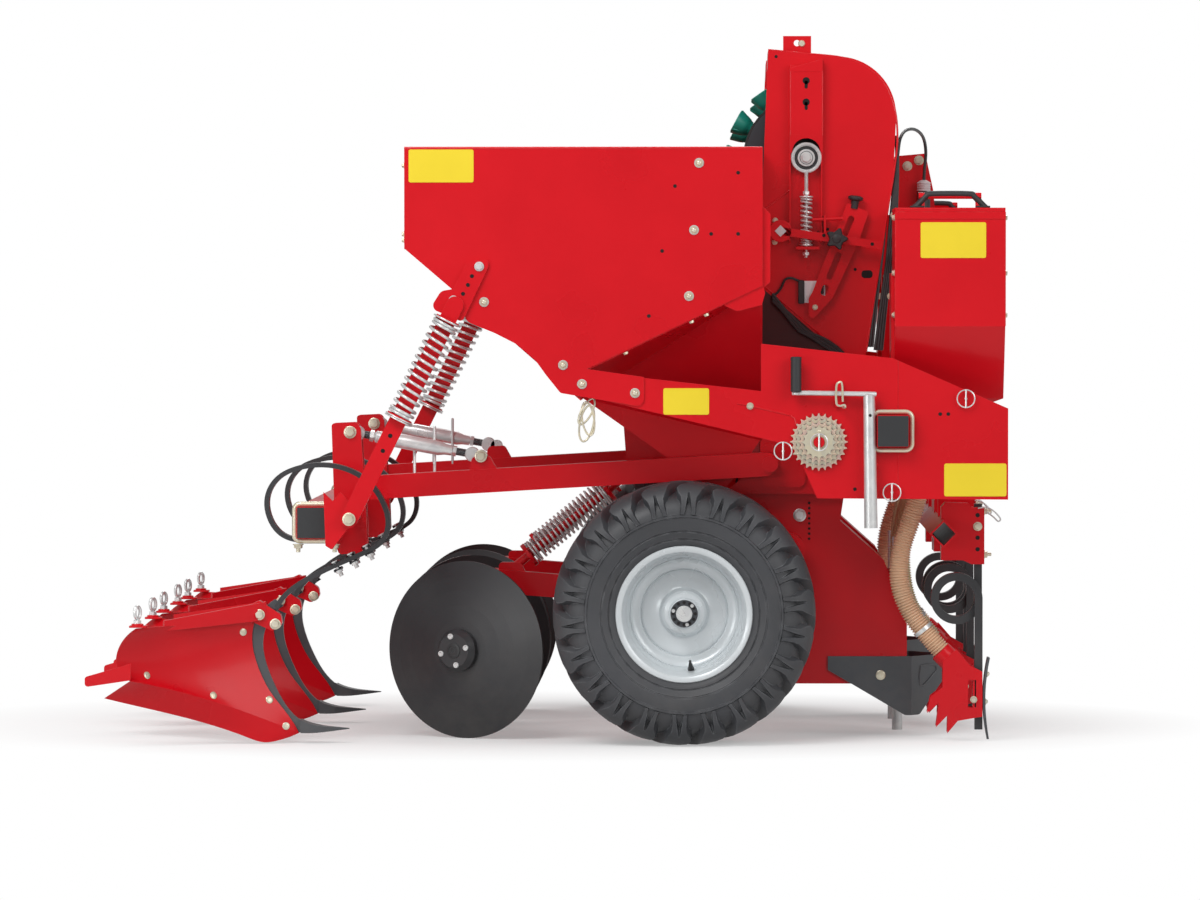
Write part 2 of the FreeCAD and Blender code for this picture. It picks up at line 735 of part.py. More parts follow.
def furrow_share():
    """Ploughshare-like opener, folded to a nose in front of each boot."""
    half = BOOT_OUT - ROW
    wide = half + SHARE_T
    rear, nose, top = SHARE_REAR, SHARE_NOSE, SHARE_TOP
    plan = [(rear, ROW - wide), (SHARE_BEND, ROW - wide), (nose, ROW), (SHARE_BEND, ROW + wide),
            (rear, ROW + wide)]
    shell = cut(slab(plan, top - 156, top + 4),
                slab([(rear - 2, ROW - half), (SHARE_BEND, ROW - half), (nose - 10, ROW),
                      (SHARE_BEND, ROW + half), (rear - 2, ROW + half)], top - 166, top + 14))
    side = plate([(rear, top), (nose, top), (nose, top - 48), (SHARE_BEND + 21, top - 150, 10),
                  (SHARE_BEND - 17, top - 150, 10), (rear, top - 35)], ROW - wide - 1, ROW + wide + 1)
    return shell.common(side)


def stand_socket():
    low, high = STAND_Y - SLEEVE_HALF, STAND_Y + SLEEVE_HALF
    sleeve = block((STAND_X - SLEEVE_HALF, STAND_X + SLEEVE_HALF), (low, high), (SLEEVE_LOW, SLEEVE_TOP))
    web = block((STAND_X - 50, STAND_X - 24), (low + 10, BOOT_IN), (SLEEVE_LOW + 20, SLEEVE_TOP - 20))
    wing = block((STAND_X - 36, STAND_X), (low + 10, low + 26), (SLEEVE_LOW + 20, SLEEVE_TOP - 20))
    bore = pin_z(STAND_X, STAND_Y, SLEEVE_LOW - 1, SLEEVE_TOP + 1, STAND_R + 0.3)
    return cut(fuse(sleeve, web, wing), bore)


def parking_stand():
    post = pin_z(STAND_X, STAND_Y, 0, STAND_TOP, STAND_R)
    peg = rod((STAND_X, STAND_Y - STAND_R - 14, 460), (STAND_X, STAND_Y + STAND_R + 14, 460), PIN_R)
    return fuse(post, peg)


def build_boots():
    write("planting_boots", *pair(planting_boot()))
    write("furrow_shares", *pair(furrow_share()))
    write("stand_sockets", *pair(stand_socket()))
    write_sides("parking_stand", parking_stand())


# ================================================================ covering discs
def disc_frame(side):
    """Hub position and outward axis of a left row's disc; side is 1 outside, -1 inside."""
    toe = math.radians(DISC_TOE)
    centre = (DISC_X, ROW + side * DISC_NEAR, DISC_R)
    return centre, (-math.sin(toe), side * math.cos(toe), 0)


def cover_disc(side):
    centre, out = disc_frame(side)
    bend = (DISC_R ** 2 + DISC_DISH ** 2) / (2 * DISC_DISH)
    angles = [math.asin(DISC_R / bend) * i / 6 for i in range(7)]
    outer = [(bend * math.sin(a), DISC_DISH - bend * (1 - math.cos(a))) for a in angles]
    inner = [(r, w - DISC_T) for r, w in reversed(outer)]
    dish = turned(outer + inner, centre, out)
    cap = turned([(0, DISC_DISH - DISC_T), (DISC_CAP_R, DISC_DISH - DISC_T), (DISC_CAP_R, DISC_DISH + 12),
                  (DISC_CAP_R - 12, DISC_DISH + DISC_CAP_T), (0, DISC_DISH + DISC_CAP_T)], centre, out)
    bore = STUB_R + RUN_FIT
    hub = turned([(0, DISC_DISH - 2), (DISC_HUB_R, DISC_DISH - 2), (DISC_HUB_R, -30), (bore, -30),
                  (bore, 12), (0, 12)], centre, out)
    return fuse(dish, cap, hub)


def disc_arm():
    low, high = ROW - DISC_ARM_T / 2, ROW + DISC_ARM_T / 2
    arm = link(DISC_ARM_PIVOT, DISC_ARM_END, DISC_ARM_DEPTH / 2, low, high)
    head = pin(DISC_ARM_END[0], DISC_ARM_END[1], ROW - 130, ROW + 130, 28)
    pieces = [head]
    for side in (-1, 1):
        centre, out = disc_frame(side)
        middle = V(*centre)
        way = V(*out)
        inner = middle + way * -62
        pieces.append(rod(tuple(middle + way * -80), tuple(middle + way * 10), STUB_R))
        top = V(DISC_ARM_END[0], ROW + side * 108, DISC_ARM_END[1])
        pieces.append(rod(tuple(top), tuple(inner), 20))
        pieces.append(Part.makeSphere(24, inner).common(
            rod(tuple(middle + way * -100), tuple(middle + way * -40), 40)))
    clevis = plate([(TROUGH_LOW[0], 400), (TROUGH_LOW[0], 300), (DISC_ARM_PIVOT[0] - 20, 318, 14),
                    (DISC_ARM_PIVOT[0] - 20, 378, 14)], high, high + 10)
    other = clevis.copy()
    other.translate(V(0, -DISC_ARM_T - 10, 0))
    bolt = pin(DISC_ARM_PIVOT[0], DISC_ARM_PIVOT[1], low - 18, high + 18, 12)
    return fuse(arm, *pieces, clevis, other, bolt)


def spring_profile(length, turns):
    """Bellows outline that stands for a compression spring."""
    step = length / (2 * turns)
    ridge = [(SPRING_R if i % 2 else SPRING_R - 6, i * step) for i in range(2 * turns + 1)]
    return [(SPRING_IN, 0)] + ridge + [(SPRING_IN, length)]


def disc_spring():
    """Spring and its rod between a disc arm and the bracket under the hopper."""
    low = V(-104, ROW, 424)
    high = V(214, ROW, 686)
    way = (high - low).normalize()
    shaft = rod(tuple(low), tuple(high), 11)
    lug = plate([(-140, 415), (-140, 440, 10), (-84, 440, 10), (-70, 412)], ROW - 12, ROW + 12)
    seat = rod(tuple(low + way * 50), tuple(low + way * 60), SPRING_R)
    stop = rod(tuple(low + way * 310), tuple(low + way * 320), SPRING_R)
    bracket = plate([(190, 660, 12), (240, 660, 12), (300, trough_z(300) - SHEET),
                     (180, trough_z(180) - SHEET)], ROW - 12, ROW + 12)
    coil = turned(spring_profile(250, 12), tuple(low + way * 60), tuple(way))
    carrier = cut(fuse(shaft, lug, seat, stop, bracket), disc_arm())
    return carrier, coil


def build_discs():
    for name, mirror in (("left", False), ("right", True)):
        for place, side in (("outer", 1), ("inner", -1)):
            disc = cover_disc(side)
            write("cover_disc_" + place + "_" + name, mirrored(disc) if mirror else disc)
    write("disc_arms", *pair(disc_arm()))
    carrier, coil = disc_spring()
    write("disc_spring_rods", *pair(carrier))
    write("disc_springs", *pair(coil))


# ================================================================ rear tool frame
def tool_beam():
    rise = (BEAM_FRONT[1] - BEAM_REAR[1]) / (BEAM_FRONT[0] - BEAM_REAR[0])
    half = BEAM_H / 2
    beam = plate([(BEAM_REAR[0], BEAM_REAR[1] - half), (BEAM_FRONT[0], BEAM_FRONT[1] - half, 20),
                  (BEAM_FRONT[0] + 30, BEAM_FRONT[1] + 4, 20), (BEAM_FRONT[0], BEAM_FRONT[1] + half, 20),
                  (BEAM_REAR[0], BEAM_REAR[1] + half)], BEAM_IN, BEAM_OUT)
    x = LINK_FRONT[0]
    foot = BEAM_REAR[1] + (x - BEAM_REAR[0]) * rise + half
    lug = plate([(x - 30, foot - 6), (x - 22, foot + 32, 12), (x + 22, foot + 34, 12), (x + 44, foot - 6)],
                BEAM_IN + 6, BEAM_IN + 14)
    other = lug.copy()
    other.translate(V(0, 30, 0))
    bore = pin(BEAM_FRONT[0], BEAM_FRONT[1], BEAM_IN - 1, BEAM_OUT + 1, BEAM_PIN_R + RUN_FIT)
    return cut(fuse(beam, lug, other), bore)


def beam_bracket():
    """Plate on an elevator housing with the pivot pin of a tool beam."""
    x, z = BEAM_FRONT
    face = HOUSE_OUT
    carrier = plate([(x - 22, z - 60, 20), (x + 90, z - 60, 20), (x + 90, z + 50, 20),
                     (x - 22, z + 50, 20)], face, BEAM_IN - 2)
    spacer = pin(x, z, BEAM_IN - 2, BEAM_IN, 20)
    bolt = pin(x, z, BEAM_IN, BEAM_OUT, BEAM_PIN_R)
    head = pin(x, z, BEAM_OUT, BEAM_OUT + 12, 20)
    return fuse(carrier, spacer, bolt, head)


def tool_head():
    """Pair of side plates that join a beam to the rear cross tube."""
    front = REAR_X + TUBE / 2
    corners = [(-557, 800, 8), (-493, 803, 14), (-483, 788, 14), (-469, 572), (-466, 491, 14),
               (-486, 471, 14), (-538, 468, 10), (front, 500), (front, 610)]
    pieces = []
    for low in (BEAM_IN - HEAD_T, BEAM_OUT):
        pieces.append(plate(corners, low, low + HEAD_T))
    web = block((front, front + HEAD_T), (BEAM_IN, BEAM_OUT), (520, 600))
    cross = pin(STRUT_LOW[0], STRUT_LOW[1], BEAM_IN - HEAD_T, STRUT_Y + 12, STRUT_PIN_R)
    return fuse(pieces[0], pieces[1], web, cross)


def turnbuckle():
    y = (BEAM_IN + BEAM_OUT) / 2
    start = V(LINK_REAR[0], y, LINK_REAR[1])
    end = V(LINK_FRONT[0], y, LINK_FRONT[1])
    way = (end - start).normalize()
    sleeve = rod(tuple(start + way * 70), tuple(end - way * 110), LINK_R)
    screw = rod(tuple(start), tuple(end), 9)
    rear_eye = pin(start.x, start.z, BEAM_IN, BEAM_OUT, 16)
    front_eye = pin(end.x, end.z, BEAM_IN + 14, BEAM_IN + 36, 16)
    return fuse(sleeve, screw, rear_eye, front_eye)


def strut():
    low, high = STRUT_Y - STRUT_T / 2, STRUT_Y + STRUT_T / 2
    bar = link(STRUT_LOW, STRUT_TOP, STRUT_W / 2, low, high)
    start = V(STRUT_LOW[0], STRUT_Y, STRUT_LOW[1])
    way = (V(STRUT_TOP[0], STRUT_Y, STRUT_TOP[1]) - start).normalize()
    seat = rod(tuple(start + way * 276), tuple(start + way * 286), SPRING_R)
    stop = rod(tuple(start + way * 548), tuple(start + way * 556), SPRING_R - 2)
    coil = turned(spring_profile(262, 12), tuple(start + way * 286), tuple(way))
    hole = pin(STRUT_LOW[0], STRUT_LOW[1], low - 1, high + 1, STRUT_PIN_R + RUN_FIT)
    return cut(fuse(bar, seat, stop), hole), coil


def strut_bracket():
    corners = [(-200, 1209.5, 10), (-147, 1214, 10), (-150, 1194), (-214, 1058, 10), (-294, 1092, 16),
               (-267, 1135, 20), (-237, 1140)]
    return plate(corners, PANEL_OUT, STRUT_Y - STRUT_T / 2)


def ribbon(points, thickness, low, high):
    """Flat spring bar along a smooth line in X and Z."""
    line = [V(x, 0, z) for x, z in points]
    sides = ([], [])
    for i, point in enumerate(line):
        ahead = line[min(i + 1, len(line) - 1)]
        back = line[max(i - 1, 0)]
        way = (ahead - back).normalize()
        normal = V(-way.z, 0, way.x) * (thickness / 2)
        sides[0].append(point + normal + V(0, low, 0))
        sides[1].append(point - normal + V(0, low, 0))
    curves = []
    for side in sides:
        curve = Part.BSplineCurve()
        curve.interpolate(side)
        curves.append(curve.toShape())
    ends = [Part.makeLine(sides[0][0], sides[1][0]), Part.makeLine(sides[0][-1], sides[1][-1])]
    wire = Part.Wire(Part.sortEdges([curves[0], ends[0], curves[1], ends[1]])[0])
    return Part.Face(wire).extrude(V(0, high - low, 0))


TINE_LINE = [(-560, 509.4), (-600, 509.4), (-632, 511), (-668, 523), (-703, 569), (-707, 622),
             (-681, 666), (-628, 692),
             (-563, 699), (-500, 685), (-446, 648), (-415, 599), (-405, 549), (-420, 508),
             (-460, 481), (-520, 455), (-590, 422), (-650, 385), (-686, 340)]


def rear_tine(y):
    half = TUBE / 2
    tube = block((REAR_X - half, REAR_X + half), (y - TINE_W, y + TINE_W), (REAR_Z - half, REAR_Z + half))
    return cut(ribbon(TINE_LINE, TINE_T, y - TINE_W / 2, y + TINE_W / 2), tube)


def build_rear_frame():
    write("tool_beams", *pair(tool_beam()))
    write("beam_brackets", *pair(beam_bracket()))
    write("tool_heads", *pair(tool_head()))
    write("tool_cross_tube", square_tube(REAR_X, REAR_Z, REAR_HALF, TUBE, TUBE_WALL))
    write("turnbuckles", *pair(turnbuckle()))
    bar, coil = strut()
    write("spring_struts", *pair(bar))
    write("strut_springs", *pair(coil))
    write("strut_brackets", *pair(strut_bracket()))
    write("rear_spring_tines", *[rear_tine(y) for y in RIDGERS])


# ================================================================ ridging bodies
def smooth(points):
    """Edge along a smooth line through 3-D points."""
    curve = Part.BSplineCurve()
    curve.interpolate([V(*p) for p in points])
    return curve.toShape()


SHIN_BEHIND = [(-690, 362), (-734, 318), (-757, 262), (-757, 205), (-738, 145), (-702, 90), (-652, 42)]
SHIN_AHEAD = [(-632, 62), (-660, 92), (-687, 139), (-711, 198), (-720, 252), (-708, 302), (-668, 345)]
POINT_TOP = [(POINT_REAR, 60), (-600, 50), (-560, 42.5), (POINT_TIP, 38)]
POINT_FOOT = [(POINT_TIP, 36), (-545, 31), (-590, 27), (POINT_REAR, 27)]


def flat_line(points, y):
    """Edge along a smooth line that lies at one distance across the machine."""
    return smooth([(x, y, z) for x, z in points])


def share_point(y):
    """Beak that curves forward from the foot of a shin."""
    low = y - POINT_HALF
    ends = [Part.makeLine(V(a[0], low, a[1]), V(b[0], low, b[1]))
            for a, b in ((POINT_TOP[-1], POINT_FOOT[0]), (POINT_FOOT[-1], POINT_TOP[0]))]
    edges = [flat_line(POINT_TOP, low), ends[0], flat_line(POINT_FOOT, low), ends[1]]
    beak = Part.Face(Part.Wire(edges)).extrude(V(0, 2 * POINT_HALF, 0))
    spread = slab([(POINT_REAR - 1, y - POINT_HALF + 4), (POINT_REAR + 40, y - POINT_HALF + 6),
                   (POINT_TIP, y - 2), (POINT_TIP, y + 2), (POINT_REAR + 40, y + POINT_HALF - 6),
                   (POINT_REAR - 1, y + POINT_HALF - 4)], 0, 100)
    return beak.common(spread)


def shin(y):
    """Curved cutting shin of a ridger, with its share point."""
    low, high = y - SHIN_T / 2, y + SHIN_T / 2
    foot = [SHIN_BEHIND[-1], (POINT_REAR - 4, POINT_FOOT[-1][1]), (POINT_REAR + 24, POINT_FOOT[-1][1]),
            (POINT_REAR + 24, POINT_TOP[1][1]), SHIN_AHEAD[0]]
    edges = [flat_line(SHIN_BEHIND, low)]
    for a, b in zip(foot, foot[1:]):
        edges.append(Part.makeLine(V(a[0], low, a[1]), V(b[0], low, b[1])))
    edges.append(flat_line(SHIN_AHEAD, low))
    edges.append(Part.makeLine(V(SHIN_AHEAD[-1][0], low, SHIN_AHEAD[-1][1]),
                               V(SHIN_BEHIND[0][0], low, SHIN_BEHIND[0][1])))
    blade = Part.Face(Part.Wire(edges)).extrude(V(0, high - low, 0))
    return fuse(cut(blade, rear_tine(y)), share_point(y))


# Lines of a wing from its top to its bottom: (x, distance from the middle, z).
WING_FRONT = [(-741, 0, 304), (-746, 0, 250), (-731, 0, 190), (-700, 0, 128), (-657, 0, 72), (-629, 0, 26)]
WING_MIDDLE = [(-870, 84, 303), (-888, 88, 265), (-889, 88, 215), (-874, 84, 170), (-850, 78, 135),
               (-820, 72, 104)]
WING_SPREAD = WING_REACH - WING_T - SHIN_T / 2
WING_REAR = [(-1018, WING_SPREAD - 6, 300), (-1046, WING_SPREAD - 2, 275), (-1063, WING_SPREAD, 243),
             (-1066, WING_SPREAD, 216), (-1056, WING_SPREAD, 190), (-1032, WING_SPREAD - 2, 170)]
# Foot of the sole sheet under a wing, from front to rear.
SOLE_FOOT = [(-652, 0, 16), (-682, 10, 7.5), (-715, 22, 4), (-758, 36, 18), (-805, 52, 36.5),
             (-905, 108, 71), (-1098, WING_SPREAD - 22, 126)]


def wing(y, side):
    """Mouldboard of a ridger, with its sole sheet and a straight tail strip at its rear."""
    def place(line):
        return Part.Wire(smooth([(x, y + side * (SHIN_T / 2 + v), z) for x, v, z in line]))

    skin = Part.makeLoft([place(WING_FRONT), place(WING_MIDDLE), place(WING_REAR)], False, False)
    blade = skin.extrude(V(0, side * WING_T, 0)).Solids[0]
    seam = min(skin.Edges, key=lambda edge: sum(vertex.Z for vertex in edge.Vertexes))
    sheet = Part.makeLoft([Part.Wire(seam), place(SOLE_FOOT)], False, True)
    sole = sheet.extrude(V(0, side * WING_T, 0)).Solids[0]
    inner = WING_REACH - WING_T
    low, high = sorted((y + side * inner, y + side * WING_REACH))
    tail = plate([(-1030, 213), (TAIL_REAR, 180, 8), (TAIL_REAR, 155, 8), (-1030, 172)], low, high)
    return fuse(blade, sole, tail)


def strip(start, end, heights, thickness):
    """Upright flat bar between two 3-D points, with a height at each."""
    a, b = V(*start), V(*end)
    across = V(b.y - a.y, a.x - b.x, 0).normalize() * (thickness / 2)
    wires = []
    for p, height in ((a, heights[0]), (b, heights[1])):
        up = V(0, 0, height / 2)
        wires.append(Part.makePolygon([p + across + up, p - across + up, p - across - up,
                                       p + across - up, p + across + up]))
    return Part.makeLoft(wires, True, True)


def ridger_frame(y, wings):
    """Yoke at the shin with two arms and a cross brace between the wings."""
    yoke = plate([(-752, 308, 6), (-748, 350, 8), (-728, 359, 6), (-674, 324, 14), (-670, 300, 12),
                  (-694, 282, 12)], y - SHIN_T / 2 - 12, y + SHIN_T / 2 + 12)
    arms = [strip((-712, y + side * 16, 333), (-956, y + side * 158, 302), (46, 26), 8) for side in (-1, 1)]
    brace = rod((-944, y - 182, 278), (-944, y + 182, 278), 9)
    whole = fuse(yoke, *arms, brace).cut(wings)
    return max(whole.Solids, key=lambda solid: solid.Volume)


def build_ridgers():
    shins = []
    frames = []
    wings = []
    for y in RIDGERS:
        blade = shin(y)
        sides = [wing(y, -1), wing(y, 1)]
        shins.append(blade)
        frames.append(ridger_frame(y, sides + [blade, rear_tine(y)]))
        wings += sides
    write("ridger_shins", *shins)
    write("ridger_wings", *wings)
    write("ridger_frames", *frames)


# ================================================================ front tines
def tine_coil():
    """Square-bar helix with its axis along Y and both ends at its front."""
    radius = COIL_R
    helix = Part.makeHelix(COIL_PITCH, COIL_PITCH * COIL_TURNS, radius)
    half = WIRE / 2
    square = Part.makePolygon([V(radius - half, 0, -half), V(radius + half, 0, -half),
                               V(radius + half, 0, half), V(radius - half, 0, half),
                               V(radius - half, 0, -half)])
    coil = Part.Wire(helix.Edges).makePipeShell([square], True, True)
    return coil


def front_tine(y):
    """Coil tine; its lower leg is in line with y and its upper leg is further in."""
    coil = tine_coil()
    coil.rotate(V(0, 0, 0), V(1, 0, 0), 90)
    coil.translate(V(COIL_X, y, COIL_Z))
    leg_x = COIL_X + COIL_R
    half = WIRE / 2
    lower = block((leg_x - half, leg_x + half), (y - half, y + half), (LEG_LOW, COIL_Z + 2))
    top = y - COIL_PITCH * COIL_TURNS
    upper = block((leg_x - half, leg_x + half), (top - half, top + half), (COIL_Z - 2, CLAMP_TOP + 8))
    return fuse(coil, lower, upper)


def tine_clamp(y):
    """Clamp that holds a tine's upper leg on the turned square bar."""
    top = y - COIL_PITCH * COIL_TURNS
    half = WIRE / 2
    leg_x = COIL_X + COIL_R
    channel = leg_x - half - 7
    body = plate([(BAR_X - 4, CLAMP_LOW + 10), (channel - 22, CLAMP_LOW + 10), (channel, CLAMP_LOW),
                  (leg_x + half + 5, CLAMP_LOW), (leg_x + half + 5, CLAMP_TOP), (channel, CLAMP_TOP),
                  (channel - 8, CLAMP_TOP + 10), (BAR_X + 6, CLAMP_TOP + 12), (BAR_X - 4, CLAMP_TOP)],
                 top - 32, top + 32)
    slot = block((leg_x - half, leg_x + half), (top - half, top + half),
                 (CLAMP_LOW - 1, CLAMP_TOP + 13))
    return cut(body, turned_bar(top - 60, top + 60), slot)


def tine_share(y):
    """Narrow bowed blade bolted to the front of a tine's lower leg."""
    front = COIL_X + COIL_R + WIRE / 2
    line = [(front + 15, 212), (front + 7, 165), (front + 3.5, 110), (front + 6, 58), (front + 14, 5)]
    bowed = ribbon(line, SHARE_BLADE_T, y - SHARE_BLADE_HALF, y + SHARE_BLADE_HALF)
    form = section([(y - SHARE_BLADE_HALF, 220), (y + SHARE_BLADE_HALF, 220), (y + SHARE_BLADE_HALF, 60),
                    (y, 5), (y - SHARE_BLADE_HALF, 60)], front - 5, front + 30)
    pad = block((front, front + 3), (y - WIRE / 2, y + WIRE / 2), (85, 140))
    return fuse(bowed.common(form), pad)


def coulter(y):
    """Fertiliser shoe: two toothed cheeks behind the tine, joined by a top web."""
    back = COIL_X + COIL_R - WIRE / 2
    front = COIL_X + COIL_R + WIRE / 2 - 1
    corners = [(1022, 233), (1056.5, 193.5), (front, 177), (front, 64), (1026, 53), (999.5, 21.5),
               (1000.5, 67.5), (971, 37), (979, 98), (948.5, 73), (957.5, 114.5), (988, 138), (988, 204)]
    cheeks = []
    for low in (y - HOSE_R - SEAT - CHEEK_T, y + HOSE_R + SEAT):
        cheek = plate(corners, low, low + CHEEK_T)
        window = block((back - 17, back + 3), (low - 1, low + CHEEK_T + 1), (87, 156))
        cheeks.append(cut(cheek, window))
    web = block((back - CHEEK_T, back), (y - HOSE_R - SEAT, y + HOSE_R + SEAT), (70, 176))
    return fuse(cheeks[0], cheeks[1], web)


def hose_wire(points):
    """Straight runs joined by tangent arcs."""
    line = [V(*p) for p in points]
    edges = []
    last = line[0]
    for i in range(1, len(line) - 1):
        before, corner, after = line[i - 1], line[i], line[i + 1]
        run = min((before - corner).Length, (after - corner).Length)
        half_turn = (corner - before).getAngle(after - corner) / 2
        radius = 0.45 * run / math.tan(half_turn)
        start, middle, end = corner_arc(before, corner, after, radius)
        edges.append(Part.makeLine(last, start))
        edges.append(Part.Arc(start, middle, end).toShape())
        last = end
    edges.append(Part.makeLine(last, line[-1]))
    return Part.Wire(edges)


def tube_along(points, radius, bore):
    spine = hose_wire(points)
    start = V(*points[0])
    way = V(*points[1]) - start
    outer = spine.makePipeShell([Part.Wire(Part.makeCircle(radius, start, way))], True, False)
    inner = spine.makePipeShell([Part.Wire(Part.makeCircle(bore, start, way))], True, False)
    return outer.cut(inner)


HOSE_OUTER = [(936, 650, 735), (936, 650, 664), (916, 650, 578), (881, 650, 484), (876, 650, 400),
              (905, 650, 325), (955, 650, 261), (1006, 650, 205)]
HOSE_INNER = [(965, 590, 735), (965, 590, 684), (950, 540, 648), (941, 440, 636), (940, 330, 630),
              (937, 230, 621), (916, 150, 588), (900, 104, 505), (897, 100, 415), (912, 100, 330),
              (950, 100, 262), (1006, 100, 205)]


def build_front_tines():
    bar = square_tube(BAR_X, BAR_Z, BAR_HALF, BAR, BAR_WALL, 45)
    tines = []
    clamps = []
    shares = []
    shoes = []
    for y in FRONT_TINES:
        tines += pair(front_tine(y))
        clamps += pair(tine_clamp(y))
        shares += pair(tine_share(y))
        shoes += pair(coulter(y))
    write("front_coil_tines", *tines)
    write("front_tine_bar", fuse(bar, *clamps))
    write("tine_shares", *shares)
    write("coulters", *shoes)
    hoses = [tube_along(route, HOSE_R, HOSE_BORE) for route in (HOSE_OUTER, HOSE_INNER)]
    write("fertiliser_hoses", *pair(hoses[0]), *pair(hoses[1]))


# ================================================================ fertiliser boxes
def taper(top, bottom, z_top, z_bottom):
    """Loft between two rectangles (x low, x high, y low, y high)."""
    wires = []
    for (x0, x1, y0, y1), z in ((top, z_top), (bottom, z_bottom)):
        wires.append(Part.makePolygon([V(x0, y0, z), V(x1, y0, z), V(x1, y1, z), V(x0, y1, z),
                                       V(x0, y0, z)]))
    return Part.makeLoft(wires, True, True)


def shrunk(rectangle):
    """The same rectangle inside a sheet wall."""
    x0, x1, y0, y1 = rectangle
    return x0 + SHEET, x1 - SHEET, y0 + SHEET, y1 - SHEET


def fertiliser_box():
    """Open sheet box whose outer wall slopes in to the waist, on a metering unit."""
    mouth = (BOX_REAR, BOX_FRONT, BOX_IN, BOX_OUT)
    outlet = (OUTLET_X - OUTLET_HALF, OUTLET_X + OUTLET_HALF, OUTLET_Y - OUTLET_HALF - 60,
              OUTLET_Y + OUTLET_HALF)
    waist = (BOX_REAR, BOX_FRONT, outlet[2], outlet[3] + 47)
    outer = fuse(block(mouth[:2], mouth[2:], (BOX_KNEE, BOX_TOP)),
                 taper(mouth, waist, BOX_KNEE, BOX_WAIST), taper(waist, outlet, BOX_WAIST, BOX_LOW))
    room = fuse(block(shrunk(mouth)[:2], shrunk(mouth)[2:], (BOX_KNEE, BOX_TOP + 1)),
                taper(shrunk(mouth), shrunk(waist), BOX_KNEE, BOX_WAIST + SHEET),
                taper(shrunk(waist), shrunk(outlet), BOX_WAIST + SHEET, BOX_LOW + SHEET))
    meter = block(outlet[:2], outlet[2:], (METER_LOW, BOX_LOW))
    return fuse(cut(outer, room), meter, *box_hinges())


def box_bracket():
    foot = MAIN_Z + TUBE / 2
    post = block((BOX_REAR - 8, BOX_REAR), (600, 780), (foot, 1180))
    toe = block((BOX_REAR - 40, BOX_REAR), (600, 780), (foot, foot + 8))
    return fuse(post, toe)


def hinge_spans():
    """Places along X of each hinge: (lid knuckle, box knuckle)."""
    spans = []
    for x in (BOX_REAR + 50, BOX_FRONT - 90):
        spans.append(((x, x + KNUCKLE), (x + KNUCKLE + 1, x + 2 * KNUCKLE + 1)))
    return spans


def box_lid():
    low = BOX_TOP + SEAT
    axis_z = low + LID_T / 2
    lid = block((BOX_REAR, BOX_FRONT), (LID_HINGE, BOX_OUT), (low, low + LID_T))
    notches = [block((b[0] - 1, b[1] + 1), (LID_HINGE - 1, LID_HINGE + KNUCKLE_R + 1),
                     (low - 1, low + LID_T + 1)) for a, b in hinge_spans()]
    knuckles = [rod((a[0], LID_HINGE, axis_z), (a[1], LID_HINGE, axis_z), KNUCKLE_R)
                for a, b in hinge_spans()]
    return fuse(fuse(cut(lid, *notches), *knuckles), lid_handle())


def box_hinges():
    """Fixed knuckles on the inner rim of a box."""
    axis_z = BOX_TOP + SEAT + LID_T / 2
    pieces = []
    for a, b in hinge_spans():
        barrel = rod((b[0], LID_HINGE, axis_z), (b[1], LID_HINGE, axis_z), KNUCKLE_R)
        leaf = block(b, (BOX_IN, LID_HINGE), (BOX_TOP, axis_z + KNUCKLE_R))
        pieces.append(fuse(barrel, leaf))
    return pieces


def lid_handle():
    low = BOX_TOP + SEAT + LID_T
    y = BOX_OUT - 30
    top = low + 30
    ends = (930, 1070)
    posts = [rod((x, y, low), (x, y, top), 7) for x in ends]
    return fuse(rod((ends[0] - 8, y, top), (ends[1] + 8, y, top), 8), *posts)


def build_boxes():
    write("fertiliser_boxes", *pair(fertiliser_box()))
    write_sides("box_lid", box_lid())


# ================================================================ small fittings
def sprocket(x, z, teeth, low, high):
    """Toothed wheel whose pitch grows its radius with its teeth."""
    root = SPROCKET_STEP * teeth
    outline = []
    for i in range(teeth):
        for part, radius in ((-0.3, root), (-0.09, root + TOOTH_H), (0.09, root + TOOTH_H), (0.3, root)):
            angle = 2 * math.pi * (i + part) / teeth
            outline.append((x + radius * math.sin(angle), z + radius * math.cos(angle)))
    return plate(outline, low, high)


def sprocket_stack():
    """Spare drive sprockets kept on a peg of the side plate."""
    x, z = 673.2, 759.6
    wheels = []
    for i, teeth in enumerate((28, 24, 20, 16)):
        low = SIDE_OUT + 3 + i * (SPROCKET_T + 3)
        wheels.append(sprocket(x, z, teeth, low, low + SPROCKET_T))
    peg = pin(x, z, SIDE_OUT, SIDE_OUT + 44, 17)
    return fuse(peg, *wheels)


def crank_jack():
    """Tubular crank stowed in a bracket on the side plate."""
    y = SIDE_OUT + 25
    tube = rod((797.5, y, 884), (802.5, y, 545.8), 14)
    arm = link((620, 884), (800, 880), 7, y - 7, y + 7)
    grip = rod((616, y + 4, 884), (616, y + 4, 968), 14)
    clip = block((780, 815), (SIDE_OUT, y), (700, 740))
    return fuse(tube, arm, grip, clip)


def build_fittings():
    write("sprocket_stack", mirrored(sprocket_stack()))
    write("jack_crank", mirrored(crank_jack()))


os.makedirs("parts", exist_ok=True)
build_wheels()
build_frame()
build_hopper()
build_elevators()
build_boots()
build_discs()
build_rear_frame()
build_ridgers()
build_front_tines()
build_boxes()
build_fittings()
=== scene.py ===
"""Looks of a two-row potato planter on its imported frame.

Sizes are written in millimetres and scaled once, when a piece is made. X is the way of
travel, Y is to the left and Z is up. A row stands 375 mm each side of the middle.
"""

import math

import bmesh
import bpy
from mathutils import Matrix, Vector
from mathutils.bvhtree import BVHTree


